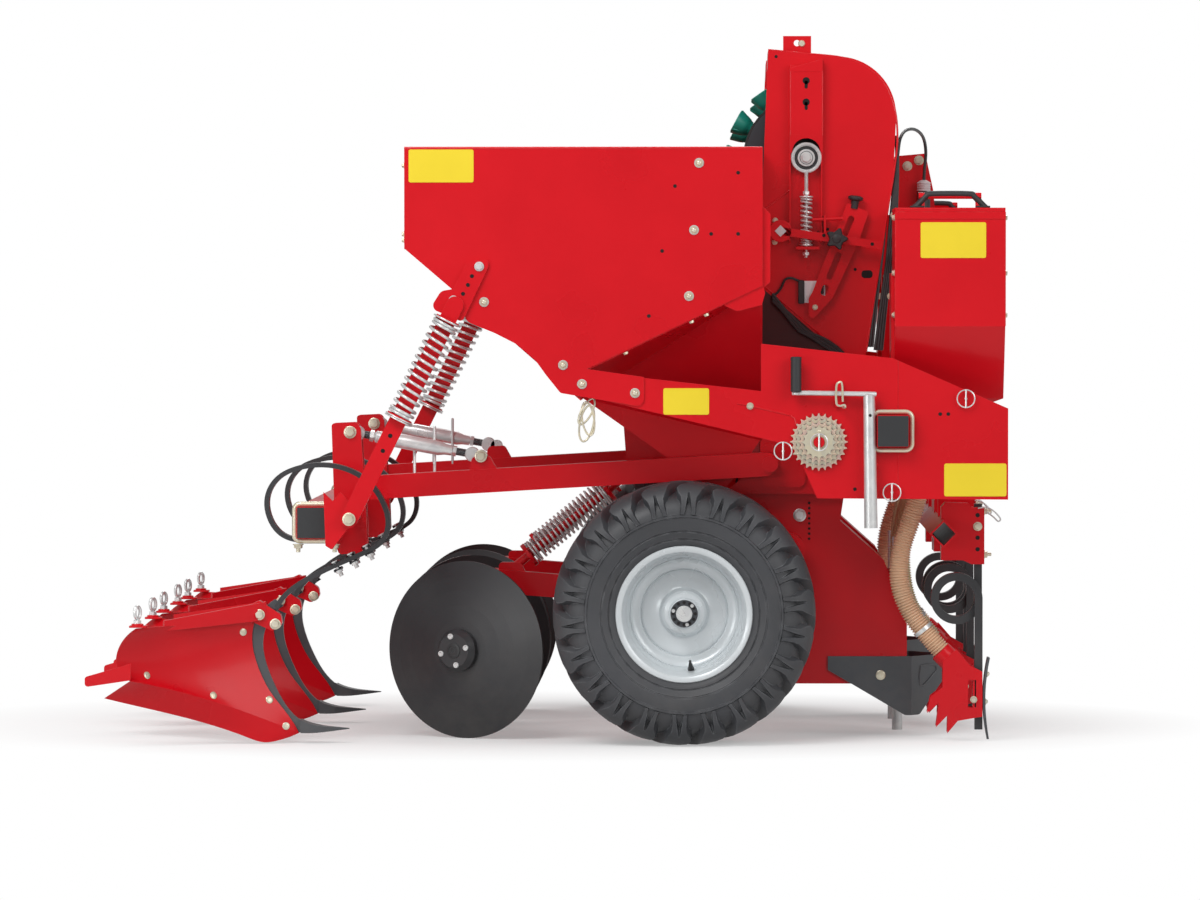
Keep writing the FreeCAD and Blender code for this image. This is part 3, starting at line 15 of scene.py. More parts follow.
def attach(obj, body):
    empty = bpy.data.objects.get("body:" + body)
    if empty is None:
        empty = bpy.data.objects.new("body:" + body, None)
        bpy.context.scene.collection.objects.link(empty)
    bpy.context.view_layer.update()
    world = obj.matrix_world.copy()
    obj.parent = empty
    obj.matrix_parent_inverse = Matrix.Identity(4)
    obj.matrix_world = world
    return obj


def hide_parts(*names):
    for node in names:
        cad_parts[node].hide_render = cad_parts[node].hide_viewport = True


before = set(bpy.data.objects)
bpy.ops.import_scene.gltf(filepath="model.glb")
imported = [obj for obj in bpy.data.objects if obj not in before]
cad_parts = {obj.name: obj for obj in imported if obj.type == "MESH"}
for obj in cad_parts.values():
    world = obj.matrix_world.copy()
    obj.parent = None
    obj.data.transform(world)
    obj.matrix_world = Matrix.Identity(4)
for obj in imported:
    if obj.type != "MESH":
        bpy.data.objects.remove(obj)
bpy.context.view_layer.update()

MM = 0.001
V = Vector
ROW = 375.0
WHEEL = V((338.0, 750.0, 330.0))
UPPER = V((645.5, 0.0, 1473.0))
SIDE_OUT = 855.0
PANEL_OUT = 860.0
HOUSE_OUT = 525.0
RIDGERS = (-750.0, 0.0, 750.0)
COULTERS = (100, 650)
BOTH_WHEELS = (("left", 1), ("right", -1))


# ---------------------------------------------------------------- shader groups
def new_group(name, inputs, outputs):
    """Empty shader group with float inputs {name: default} and outputs {name: type}."""
    tree = bpy.data.node_groups.new(name, "ShaderNodeTree")
    for label, value in inputs.items():
        colour = isinstance(value, tuple)
        kind = "NodeSocketColor" if colour else "NodeSocketFloat"
        socket = tree.interface.new_socket(label, in_out="INPUT", socket_type=kind)
        socket.default_value = value
    for label, kind in outputs.items():
        tree.interface.new_socket(label, in_out="OUTPUT", socket_type=kind)
    return tree, tree.nodes.new("NodeGroupInput"), tree.nodes.new("NodeGroupOutput")


def node(tree, kind, links=None, **settings):
    """Node with settings; links maps an input to a value or to another node's output."""
    made = tree.nodes.new(kind)
    for key, value in settings.items():
        setattr(made, key, value)
    for key, value in (links or {}).items():
        if isinstance(value, bpy.types.NodeSocket):
            tree.links.new(value, made.inputs[key])
        else:
            made.inputs[key].default_value = value
    return made


def maths(tree, operation, first, second=0.0, clamp=False):
    return node(tree, "ShaderNodeMath", {0: first, 1: second}, operation=operation,
                use_clamp=clamp).outputs[0]


def mixed(tree, factor, first, second, blend="MIX"):
    made = node(tree, "ShaderNodeMix", {0: factor, 6: first, 7: second}, data_type="RGBA",
                blend_type=blend)
    return made.outputs[2]


def spread(tree, value, low, high, to_low=0.0, to_high=1.0):
    return node(tree, "ShaderNodeMapRange",
                {0: value, 1: low, 2: high, 3: to_low, 4: to_high}).outputs[0]


def make_grain():
    """Fine surface texture: a height, and a slow drift for colour and gloss."""
    tree, entry, leave = new_group("surface_grain", {"Size": 400.0, "Drift": 3.0, "Stretch": 1.0},
                                   {"Height": "NodeSocketFloat", "Drift": "NodeSocketFloat"})
    place = node(tree, "ShaderNodeTexCoord").outputs["Object"]
    along = node(tree, "ShaderNodeCombineXYZ", {0: entry.outputs["Stretch"], 1: 1.0, 2: 1.0})
    drawn = node(tree, "ShaderNodeVectorMath", {0: place, 1: along.outputs[0]}, operation="MULTIPLY")
    fine = node(tree, "ShaderNodeTexNoise", {"Vector": drawn.outputs[0], "Scale": entry.outputs["Size"],
                                             "Detail": 3.0, "Roughness": 0.6})
    slow = node(tree, "ShaderNodeTexNoise", {"Vector": place, "Scale": entry.outputs["Drift"],
                                             "Detail": 4.0, "Roughness": 0.55})
    tree.links.new(fine.outputs[0], leave.inputs["Height"])
    tree.links.new(slow.outputs[0], leave.inputs["Drift"])
    return tree


def make_wear_and_highlight():
    """Mask of edges, broken up by noise: partly scuffing and partly painted highlight along edges."""
    tree, entry, leave = new_group("edge_wear", {"Width": 0.002, "Amount": 0.5},
                                   {"Mask": "NodeSocketFloat"})
    place = node(tree, "ShaderNodeTexCoord").outputs["Object"]
    soft = node(tree, "ShaderNodeBevel", {"Radius": entry.outputs["Width"]}, samples=4)
    hard = node(tree, "ShaderNodeNewGeometry").outputs["Normal"]
    bend = node(tree, "ShaderNodeVectorMath", {0: soft.outputs[0], 1: hard}, operation="DOT_PRODUCT")
    edge = spread(tree, bend.outputs["Value"], 0.99, 0.86)
    patchy = node(tree, "ShaderNodeTexNoise", {"Vector": place, "Scale": 38.0, "Detail": 5.0})
    broken = spread(tree, patchy.outputs[0], 0.42, 0.66)
    tree.links.new(maths(tree, "MULTIPLY", maths(tree, "MULTIPLY", edge, broken),
                         entry.outputs["Amount"], True), leave.inputs["Mask"])
    return tree


def make_dust():
    """Mask of dust: thicker near the ground and on faces that look up."""
    tree, entry, leave = new_group("settled_dust", {"Amount": 0.15, "Reach": 0.5},
                                   {"Mask": "NodeSocketFloat"})
    place = node(tree, "ShaderNodeTexCoord").outputs["Object"]
    height = node(tree, "ShaderNodeSeparateXYZ", {0: place}).outputs["Z"]
    facing = node(tree, "ShaderNodeNewGeometry").outputs["Normal"]
    up = node(tree, "ShaderNodeSeparateXYZ", {0: facing}).outputs["Z"]
    low = maths(tree, "SUBTRACT", 1.0, maths(tree, "DIVIDE", height, entry.outputs["Reach"], True))
    flat = spread(tree, up, 0.3, 1.0, 0.0, 0.6)
    patchy = node(tree, "ShaderNodeTexNoise", {"Vector": place, "Scale": 11.0, "Detail": 7.0,
                                               "Roughness": 0.65})
    broken = spread(tree, patchy.outputs[0], 0.38, 0.72)
    both = maths(tree, "MAXIMUM", low, flat)
    tree.links.new(maths(tree, "MULTIPLY", maths(tree, "MULTIPLY", both, broken),
                         entry.outputs["Amount"], True), leave.inputs["Mask"])
    return tree


def make_plating():
    """Crystal patches of plated steel: two colours and a gloss mask."""
    tree, entry, leave = new_group("plated_patches", {"Size": 60.0, "Pale": (0.8, 0.8, 0.8, 1.0),
                                                      "Deep": (0.6, 0.6, 0.6, 1.0)},
                                   {"Color": "NodeSocketColor", "Patch": "NodeSocketFloat"})
    place = node(tree, "ShaderNodeTexCoord").outputs["Object"]
    cells = node(tree, "ShaderNodeTexVoronoi", {"Vector": place, "Scale": entry.outputs["Size"]})
    tone = node(tree, "ShaderNodeSeparateColor", {0: cells.outputs["Color"]}).outputs[0]
    cloud = node(tree, "ShaderNodeTexNoise", {"Vector": place, "Scale": entry.outputs["Size"],
                                              "Detail": 3.0}).outputs[0]
    blend = maths(tree, "ADD", maths(tree, "MULTIPLY", tone, 0.4), maths(tree, "MULTIPLY", cloud, 0.7))
    tree.links.new(mixed(tree, blend, entry.outputs["Pale"], entry.outputs["Deep"]),
                   leave.inputs["Color"])
    tree.links.new(blend, leave.inputs["Patch"])
    return tree


GRAIN = make_grain()
WEAR_AND_HIGHLIGHT = make_wear_and_highlight()
DUST = make_dust()
PLATING = make_plating()


# ---------------------------------------------------------------- finishes
def use(tree, group, **values):
    made = tree.nodes.new("ShaderNodeGroup")
    made.node_tree = group
    for key, value in values.items():
        made.inputs[key].default_value = value
    return made


def finish(name, colour, rough=0.4, metal=0.0, size=400.0, bump=0.02, drift=0.08, stretch=1.0,
           worn_and_lit_colour=(0.5, 0.5, 0.5), wear=0.0, wear_and_highlight_width=0.0018, dust=0.08, dust_reach=0.45,
           plating=None, coat=0.0, see_through=0.0, specular=0.5):
    """One finish: colour drift, gloss drift, bump, lighter edges (scuffing and painted highlight) and dust on
    a Principled shader.
    """
    material = bpy.data.materials.new(name)
    material.use_nodes = True
    tree = material.node_tree
    tree.nodes.clear()
    leave = tree.nodes.new("ShaderNodeOutputMaterial")
    shader = tree.nodes.new("ShaderNodeBsdfPrincipled")
    tree.links.new(shader.outputs[0], leave.inputs[0])
    grain = use(tree, GRAIN, Size=size, Drift=drift and 4.0, Stretch=stretch)
    level = spread(tree, grain.outputs["Drift"], 0.3, 0.7, 1.0 - drift, 1.0 + drift)
    if plating:
        patches = use(tree, PLATING, Size=plating[0], Pale=(*colour, 1.0), Deep=(*plating[1], 1.0))
        base = patches.outputs["Color"]
    else:
        base = (*colour, 1.0)
    shade = node(tree, "ShaderNodeHueSaturation", {"Color": base, "Value": level}).outputs[0]
    # Lighter edges: partly scuffing, partly painted highlight.
    if wear:
        worn_and_lit_edges = use(tree, WEAR_AND_HIGHLIGHT, Width=wear_and_highlight_width, Amount=wear)
        shade = mixed(tree, worn_and_lit_edges.outputs[0], shade, (*worn_and_lit_colour, 1.0))
    film = use(tree, DUST, Amount=dust, Reach=dust_reach)
    shade = mixed(tree, film.outputs[0], shade, (0.42, 0.37, 0.31, 1.0))
    tree.links.new(shade, shader.inputs["Base Color"])
    gloss = spread(tree, grain.outputs["Drift"], 0.3, 0.7, rough * 0.85, rough * 1.15)
    gloss = maths(tree, "ADD", gloss, maths(tree, "MULTIPLY", film.outputs[0], 0.5), True)
    tree.links.new(gloss, shader.inputs["Roughness"])
    shader.inputs["Metallic"].default_value = metal
    shader.inputs["Coat Weight"].default_value = coat
    shader.inputs["Coat Roughness"].default_value = 0.12
    shader.inputs["Specular IOR Level"].default_value = specular
    shader.inputs["Transmission Weight"].default_value = see_through
    raised = node(tree, "ShaderNodeBump", {"Height": grain.outputs["Height"], "Strength": bump,
                                           "Distance": 0.002})
    tree.links.new(raised.outputs[0], shader.inputs["Normal"])
    return material


FINISHES = {
    # red_paint: the lighter red on its edges is painted highlight.
    "red_paint": finish("red_paint", (0.66, 0.004, 0.011), 0.3, size=520, bump=0.025, drift=0.05,
                        worn_and_lit_colour=(0.74, 0.1, 0.1), wear=0.5, dust=0.006, coat=0.14, specular=0.22),
    "rim_paint": finish("rim_paint", (0.66, 0.7, 0.72), 0.3, 0.15, size=700, bump=0.03, drift=0.04,
                        worn_and_lit_colour=(0.75, 0.76, 0.77), wear=0.5, dust=0.05, coat=0.15),
    # tyre: the lighter grey on the edges of its bars is painted highlight that makes them look crisp.
    "tyre": finish("tyre", (0.046, 0.048, 0.054), 0.5, size=300, bump=0.1, drift=0.2,
                   worn_and_lit_colour=(0.14, 0.145, 0.155), wear=0.9, wear_and_highlight_width=0.005, dust=0.05, dust_reach=0.8),
    "black_plastic": finish("black_plastic", (0.024, 0.025, 0.027), 0.5, size=900, bump=0.15, drift=0.1,
                            worn_and_lit_colour=(0.09, 0.09, 0.09), wear=0.5, dust=0.06),
    "belt_rubber": finish("belt_rubber", (0.022, 0.022, 0.022), 0.7, size=1200, bump=0.3, drift=0.15,
                          dust=0.2),
    "cup_plastic": finish("cup_plastic", (0.01, 0.27, 0.2), 0.38, size=500, bump=0.05, drift=0.08,
                          worn_and_lit_colour=(0.12, 0.5, 0.42), wear=0.6, dust=0.05),
    "dark_steel": finish("dark_steel", (0.062, 0.066, 0.075), 0.34, 0.45, size=260, bump=0.05,
                         drift=0.16, worn_and_lit_colour=(0.2, 0.2, 0.21), wear=0.6, dust=0.06),
    "zinc": finish("zinc", (0.83, 0.83, 0.81), 0.3, 0.45, size=600, bump=0.04, drift=0.06,
                   plating=(55.0, (0.6, 0.61, 0.62)), dust=0.03),
    "yellow_zinc": finish("yellow_zinc", (0.8, 0.71, 0.5), 0.3, 0.5, size=600, bump=0.04, drift=0.08,
                          plating=(42.0, (0.62, 0.6, 0.5)), dust=0.03),
    "black_paint": finish("black_paint", (0.03, 0.03, 0.033), 0.4, size=500, bump=0.05, drift=0.12,
                          worn_and_lit_colour=(0.16, 0.16, 0.17), wear=0.6, dust=0.06),
    "share_steel": finish("share_steel", (0.075, 0.08, 0.088), 0.42, 0.3, size=220, bump=0.06,
                          drift=0.14, worn_and_lit_colour=(0.3, 0.3, 0.31), wear=0.7, dust=0.1),
    "hose_plastic": finish("hose_plastic", (0.86, 0.56, 0.36), 0.28, size=420, bump=0.06, drift=0.16,
                           dust=0.03, see_through=0.2),
    "pale_hose": finish("pale_hose", (0.75, 0.62, 0.36), 0.36, size=420, bump=0.06, drift=0.12,
                        dust=0.05, see_through=0.2),
    "sign_yellow": finish("sign_yellow", (0.9, 0.68, 0.02), 0.34, size=800, bump=0.02, drift=0.03,
                          dust=0.03, coat=0.3),
    # Painted shade: the dark inside holes, slots and openings.
    "painted_hole_shade": finish("painted_hole_shade", (0.008, 0.006, 0.006), 0.9, size=300, bump=0.05, drift=0.2,
                        dust=0.02),
    "rainbow_zinc": finish("rainbow_zinc", (0.86, 0.8, 0.52), 0.28, 0.5, size=600, bump=0.04, drift=0.08,
                           plating=(70.0, (0.78, 0.5, 0.5)), dust=0.02),
    "white_plastic": finish("white_plastic", (0.95, 0.95, 0.96), 0.4, size=500, bump=0.04, drift=0.03,
                            dust=0.01),
    # Painted shade: the colour of a flat plate that stands in for a shaded opening.
    "shaded_red": finish("shaded_red", (0.045, 0.004, 0.005), 0.6, size=500, bump=0.05, drift=0.2,
                         dust=0.03),
    "pale_plastic": finish("pale_plastic", (0.62, 0.55, 0.56), 0.45, size=500, bump=0.05, drift=0.05,
                           dust=0.03),
}


def dress_frame():
    """Every carried-over piece gets the full finish of its slot."""
    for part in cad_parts.values():
        for place in part.material_slots:
            place.material = FINISHES[place.material.name.split(".")[0]]


# ---------------------------------------------------------------- mesh tools
def around(count, shift=0.0):
    """Angles of a full turn in equal steps, the first one at shift steps."""
    return [2 * math.pi * (i + shift) / count for i in range(count)]


def axes_of(axis):
    """Two directions across an axis, and the axis itself, each of length one."""
    w = V(axis).normalized()
    u = w.orthogonal().normalized()
    return u, w.cross(u), w


def skin(bm, rows, closed=True, caps=True, joined=False):
    """Quads between rows of points with equal counts."""
    made = [[bm.verts.new(p) for p in row] for row in rows]
    steps = list(zip(made, made[1:]))
    if joined:
        steps.append((made[-1], made[0]))
    count = len(made[0])
    for first, second in steps:
        for i in range(count if closed else count - 1):
            j = (i + 1) % count
            bm.faces.new((first[i], first[j], second[j], second[i]))
    if caps and closed and not joined:
        bm.faces.new(made[0][::-1])
        bm.faces.new(made[-1])


def turned(bm, profile, at, axis=(0, 1, 0), steps=32, joined=False):
    """Lathe work: profile is (radius, height along axis)."""
    u, v, w = axes_of(axis)
    centre = V(at)
    rows = [[centre + w * h + (u * math.cos(a) + v * math.sin(a)) * max(r, 0.02) for a in around(steps)]
            for r, h in profile]
    skin(bm, rows, joined=joined)


def tube(bm, points, radius, sides=8, joined=False, up=None, wide=1.0):
    """Bar along points; radius may be one number or one for each point."""
    line = [V(p) for p in points]
    count = len(line)
    radii = radius if isinstance(radius, (list, tuple)) else [radius] * count
    rows = []
    normal = V(up) if up else None
    for i, point in enumerate(line):
        ahead = line[(i + 1) % count] if joined else line[min(i + 1, count - 1)]
        back = line[i - 1] if joined else line[max(i - 1, 0)]
        way = (ahead - back).normalized()
        if normal is None:
            normal = way.orthogonal()
        normal = (normal - way * normal.dot(way)).normalized()
        other = way.cross(normal)
        rows.append([point + normal * (math.cos(a) * radii[i] * wide) + other * (math.sin(a) * radii[i])
                     for a in around(sides)])
    skin(bm, rows, joined=joined)


def flowing(points, steps=8):
    """Points along a smooth curve through the given ones."""
    line = [V(p) for p in points]
    line = [line[0] * 2 - line[1]] + line + [line[-1] * 2 - line[-2]]
    out = []
    for a, b, c, d in zip(line, line[1:], line[2:], line[3:]):
        for i in range(steps):
            t = i / steps
            out.append(0.5 * (2 * b + (c - a) * t + (2 * a - 5 * b + 4 * c - d) * t * t
                              + (3 * b - a - 3 * c + d) * t ** 3))
    return out + [line[-2]]


def coil(bm, start, end, radius, wire, turns, closed_turns=1.5, sides=8):
    """Compression spring with ground, closed end turns."""
    u, v, w = axes_of(V(end) - V(start))
    length = (V(end) - V(start)).length
    closed = closed_turns * wire * 2.05
    total = turns + 2 * closed_turns
    count = int(total * 22)
    points = []
    for i in range(count + 1):
        turn = total * i / count
        if turn < closed_turns:
            rise = closed * turn / closed_turns
        elif turn > total - closed_turns:
            rise = length - closed * (total - turn) / closed_turns
        else:
            rise = closed + (length - 2 * closed) * (turn - closed_turns) / turns
        angle = 2 * math.pi * turn
        points.append(V(start) + w * (rise * (1 - 2 * wire / length) + wire)
                      + (u * math.cos(angle) + v * math.sin(angle)) * radius)
    tube(bm, points, wire, sides, up=w)


def rounded(corners, steps=5):
    """Flat outline; a corner (u, v, radius) is rounded."""
    out = []
    count = len(corners)
    for i, corner in enumerate(corners):
        here = V(corner[:2])
        if len(corner) < 3:
            out.append(here)
            continue
        back = (V(corners[i - 1][:2]) - here).normalized()
        ahead = (V(corners[(i + 1) % count][:2]) - here).normalized()
        half = back.angle(ahead) / 2
        reach = corner[2] / math.tan(half)
        middle = here + (back + ahead).normalized() * (corner[2] / math.sin(half))
        start, stop = here + back * reach - middle, here + ahead * reach - middle
        swing = start.angle_signed(stop)
        for k in range(steps + 1):
            turn = -swing * k / steps
            out.append(middle + V((start.x * math.cos(turn) - start.y * math.sin(turn),
                                   start.x * math.sin(turn) + start.y * math.cos(turn))))
    return out


def lift(plane, point, height):
    u, v = point[0], point[1]
    return {"xz": V((u, height, v)), "xy": V((u, v, height)), "yz": V((height, u, v))}[plane]


def prism(bm, corners, low, high, plane="xz", edge=0.8):
    """Flat plate with small chamfers along its outline."""
    line = rounded(corners)
    count = len(line)
    area = sum(line[i - 1].x * line[i].y - line[i].x * line[i - 1].y for i in range(count))
    inward = []
    for i, here in enumerate(line):
        back = (here - line[i - 1]).normalized()
        ahead = (line[(i + 1) % count] - here).normalized()
        way = (back + ahead).normalized() if (back + ahead).length > 1e-6 else ahead
        shift = V((-way.y, way.x)) * (1 if area > 0 else -1)
        inward.append(here + shift * edge)
    rows = [[lift(plane, p, low) for p in inward], [lift(plane, p, low + edge) for p in line],
            [lift(plane, p, high - edge) for p in line], [lift(plane, p, high) for p in inward]]
    skin(bm, rows)


def rectangle(x, z, corner=None):
    """Outline of a rectangle, with rounded corners if a radius is given."""
    tail = (corner,) if corner else ()
    return [(x[0], z[0], *tail), (x[1], z[0], *tail), (x[1], z[1], *tail), (x[0], z[1], *tail)]


def block(bm, x, y, z, edge=0.8):
    prism(bm, rectangle(x, z), y[0], y[1], edge=edge)


def hole(bm, at, radius, low=-0.4, high=0.5, steps=14):
    """Dark disc that paints the shade inside a drilled hole in a left-hand face."""
    turned(bm, [(radius, low), (radius, high), (0, high)], at, (0, 1, 0), steps)


def hex_head(bm, at, axis=(0, -1, 0), size=10.0, washer=True, tail=0.0):
    """Hexagon head on a washer; size is its radius over the corners."""
    high = size * 0.75
    base = 0.0
    if washer:
        turned(bm, [(size * 0.7, 0), (size * 1.2, 0), (size * 1.27, 0.5), (size * 1.27, 1.7),
                    (size * 1.2, 2.2), (size * 0.7, 2.2)], at, axis, 20)
        base = 2.2
    turned(bm, [(size, base), (size, base + high * 0.8), (size * 0.86, base + high)], at, axis, 6)
    turned(bm, [(size * 0.8, base + high * 0.9), (size * 0.78, base + high * 1.04),
                (size * 0.4, base + high * 1.08)], at, axis, 16)
    if tail:
        turned(bm, [(size * 0.5, base), (size * 0.5, base + high + tail - 1),
                    (size * 0.42, base + high + tail)], at, axis, 12)


def dome_head(bm, at, axis=(0, -1, 0), size=10.0):
    """Cup-square bolt with a wide washer."""
    turned(bm, [(size * 0.5, 0), (size * 1.25, 0), (size * 1.32, 0.6), (size * 1.32, 1.8),
                (size * 1.25, 2.4), (size * 0.9, 2.4), (size * 0.82, 4.6), (size * 0.55, 6.6),
                (size * 0.2, 7.4)], at, axis, 24)


def ring_of(at, radius, axis, count=28):
    u, v = axes_of(axis)[:2]
    return [V(at) + (u * math.cos(a) + v * math.sin(a)) * radius for a in around(count)]


FACES = {}


def land(name, start, way):
    """Where a line meets a carried-over node, and the way that the face looks."""
    if name not in FACES:
        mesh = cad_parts[name].data
        FACES[name] = BVHTree.FromPolygons([v.co for v in mesh.vertices],
                                           [list(p.vertices) for p in mesh.polygons])
    spot, out = FACES[name].ray_cast(V(start) * MM, V(way))[:2]
    return spot / MM, out


def seat(name, x, z):
    """Spot on a node's outer left face."""
    return land(name, (x, 1300, z), (0, -1, 0))


def mirror(bm, vertices, faces):
    for vertex in vertices:
        vertex.co.y = -vertex.co.y
    bmesh.ops.reverse_faces(bm, faces=faces)


def piece(name, look, build, body="frame", side=1, twin=False, stands_for=(), sharp=34.0):
    """Makes one named piece. build draws it on the left; twin adds its mirror image."""
    bm = bmesh.new()
    build(bm)
    bmesh.ops.remove_doubles(bm, verts=bm.verts, dist=0.005)
    bmesh.ops.recalc_face_normals(bm, faces=bm.faces)
    if twin:
        copy = bmesh.ops.duplicate(bm, geom=bm.verts[:] + bm.edges[:] + bm.faces[:])["geom"]
        mirror(bm, [g for g in copy if isinstance(g, bmesh.types.BMVert)],
               [g for g in copy if isinstance(g, bmesh.types.BMFace)])
    elif side < 0:
        mirror(bm, bm.verts, bm.faces)
    bmesh.ops.scale(bm, vec=(MM, MM, MM), verts=bm.verts)
    for face in bm.faces:
        face.smooth = True
    limit = math.radians(sharp)
    for edge in bm.edges:
        edge.smooth = len(edge.link_faces) != 2 or edge.calc_face_angle(0.0) < limit
    mesh = bpy.data.meshes.new(name)
    bm.to_mesh(mesh)
    bm.free()
    mesh.materials.append(FINISHES[look])
    made = bpy.data.objects.new(name, mesh)
    bpy.context.scene.collection.objects.link(made)
    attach(made, body)
    if stands_for:
        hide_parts(*stands_for)
    return made


# ---------------------------------------------------------------- wheels
LUGS = 22
TYRE_STEPS = 132


def tyre_casing(bm):
    outer = [(157, 100), (157, 116), (161, 118.5), (169.6, 119), (175, 124), (181, 127.5), (186, 128.4),
             (187.2, 126.6), (189.2, 126.8), (190.4, 130.2), (196, 133), (205, 137.2), (206.6, 136),
             (208.4, 136.8), (210, 139.2), (226, 142.8), (241, 144), (243, 147.4), (247.4, 147.6),
             (249.4, 143.4), (262, 141), (273, 136), (283, 129.5), (291, 121), (297, 109), (302, 92),
             (307, 66), (309.5, 35), (310, 0)]
    half = outer[:-1]
    profile = half + [outer[-1]] + [(r, -h) for r, h in reversed(half)]
    inner = [(166, -112), (232, -130), (285, -116), (297, -60), (298, 60), (285, 116), (232, 130), (166, 112)]
    turned(bm, profile + inner, WHEEL, (0, 1, 0), TYRE_STEPS, joined=True)


# Along a tread bar: distance across, radius of its foot, rise outward, rise sideways,
# half width at the foot, half width at the top, depth of the slot and its half width.
BAR_LINE = ((-4, 307, 19.0, 0, 19, 13, 0.0, 2), (22, 307, 21.6, 0, 20, 14, 0.0, 2),
            (60, 304, 24.6, 0, 23, 17, 0.0, 2), (88, 299, 29.0, 0, 28, 23, 0.0, 2),
            (106, 293, 32.0, 3, 33, 29, 0.0, 2), (116, 287, 31.0, 7, 36, 32, 0.0, 2),
            (123, 281, 25.0, 11, 34, 28, 0.0, 2.5), (127, 276, 19.0, 13, 30, 21, 0.7, 4),
            (132, 269, 12.0, 13.5, 27, 19.5, 1.0, 6.5), (136.5, 261, 6.0, 11, 27, 20.5, 1.0, 9),
            (140, 254, 1.5, 8, 27, 22, 1.0, 11.5), (142, 249.5, 0, 5.5, 27, 23, 0.8, 13))


BAR_TURN = math.radians(32)     # away from the axle's direction
BAR_BOW = 6.0                   # how far a bar bows out of a straight line
BAR_SHOULDER = 118.0            # beyond it a bar runs straight down the sidewall
BAR_MIDDLE = 66.0
BAR_RADIUS = 318.0              # where the widths along the turn are measured


def tread_bar(bm, turn, side):
    """Curved tread bar that splits round a slot on the sidewall."""
    rows = []
    for across, foot, rise, out, wide, top, slot, gap in BAR_LINE:
        crown = min(across, BAR_SHOULDER)
        lean = -(crown - BAR_MIDDLE) * math.tan(BAR_TURN) + BAR_BOW * math.sin(math.pi * crown / BAR_SHOULDER)
        row = []
        spots = ((-wide, -0.35), (-top - 1.5, 0.86), (-top, 1.0), (-gap, 1.0), (1.5 - gap, 1.0 - slot),
                 (gap - 1.5, 1.0 - slot), (gap, 1.0), (top, 1.0), (top + 1.5, 0.86), (wide, -0.35))
        for u, level in spots:
            radius = foot + rise * level
            angle = turn + (lean + u) / BAR_RADIUS
            y = side * (across + out * level)
            row.append(WHEEL + V((radius * math.sin(angle), y, radius * math.cos(angle))))
        rows.append(row)
    skin(bm, rows)


def tread(bm):
    tyre_casing(bm)
    for outer_turn, inner_turn in zip(around(LUGS, 0.5), around(LUGS)):
        tread_bar(bm, outer_turn, 1)
        tread_bar(bm, inner_turn, -1)


def wheel_disc(bm):
    """Pressed steel wheel with rolled edges and stepped rings."""
    profile = [(145, 80), (148, 96), (151, 112), (156, 120), (163, 123.5), (169, 124), (171, 121.5),
               (169.5, 118.5), (158, 117.5), (155, 112), (154.5, 90), (149, 80), (143, 52), (143, -70),
               (151, -90), (154.5, -100), (155, -112), (158, -117.5), (169.5, -118.5), (171, -121.5),
               (169, -124), (160, -123.5), (151, -116), (146, -96), (140, -84), (136, -60), (136, 8),
               (120, 8), (109, 11), (72, 10), (60, 16), (46, 16), (46, -70), (21, -70), (21, 78),
               (27, 84), (33.5, 84), (36, 81.5), (36.5, 54), (40, 50.5), (50, 48), (56, 42), (59, 33),
               (63, 27), (70, 24), (95, 21.5), (104, 20.6), (107.4, 19.4), (109, 18.2), (110.6, 26.4),
               (112.4, 28), (120, 28.2), (127, 29.8), (132, 33), (134.6, 35.4), (136.4, 34.6), (138.2, 47),
               (140.5, 57), (143.5, 61), (144.8, 68)]
    turned(bm, profile, WHEEL, (0, 1, 0), 96, joined=True)


HUB_RING = 28.0
HUB_HOLES = 12


def hub_seal(bm):
    """Dark ring round the axle with its twelve holes."""
    turned(bm, [(19, 0), (34.4, 0), (34.4, 1.6), (33, 2.2), (22, 2.2), (19, 1.2)], WHEEL + V((0, 82.6, 0)),
           (0, 1, 0), 48, joined=True)


def hub_holes(bm):
    for angle in around(HUB_HOLES):
        at = WHEEL + V((HUB_RING * math.sin(angle), 84.4, HUB_RING * math.cos(angle)))
        hole(bm, at, 4.2, 0, 0.7, 12)


def hub_nut(bm):
    at = WHEEL + V((0, 84.4, 0))
    turned(bm, [(20.5, 0), (20.5, 8.0), (18.8, 9.6), (3.2, 9.6), (2.6, 8.4), (0, 8.4)], at, (0, 1, 0), 32)
    for angle in around(HUB_HOLES, 0.5)[1::4]:
        spot = WHEEL + V((HUB_RING * math.sin(angle), 84.0, HUB_RING * math.cos(angle)))
        turned(bm, [(4.4, 0), (4.4, 2.4), (2.2, 2.6), (2.0, 1.0)], spot, (0, 1, 0), 12)


def valve(bm):
    foot = WHEEL + V((17, 60, -140))
    tip = foot + V((-2, 38, 23))
    line = [foot.lerp(tip, t) for t in (0, 0.12, 0.3, 0.62, 0.7, 0.98, 1.0)]
    tube(bm, line, [8.5, 8.2, 6.0, 5.0, 3.6, 3.4, 2.2], 12)


def build_wheels():
    for name, side in BOTH_WHEELS:
        body = "wheel_" + name
        piece("tread_" + name, "tyre", tread, body, side, stands_for=["tyre_" + name], sharp=28)
        piece("wheel_disc_" + name, "rim_paint", wheel_disc, body, side, stands_for=["rim_" + name],
              sharp=26)
        piece("hub_seal_" + name, "dark_steel", hub_seal, body, side)
        piece("hub_holes_" + name, "painted_hole_shade", hub_holes, body, side)
        piece("hub_nut_" + name, "zinc", hub_nut, body, side)
        piece("valve_" + name, "black_plastic", valve, body, side)


# ---------------------------------------------------------------- discs and springs
DISC_TOE = math.radians(28)
DISC_SPREAD = 190.0
STRUT_FOOT = V((-496, 875, 567))
STRUT_TOP = V((-232, 875, 1100))
STRUT_WAY = (STRUT_TOP - STRUT_FOOT).normalized()


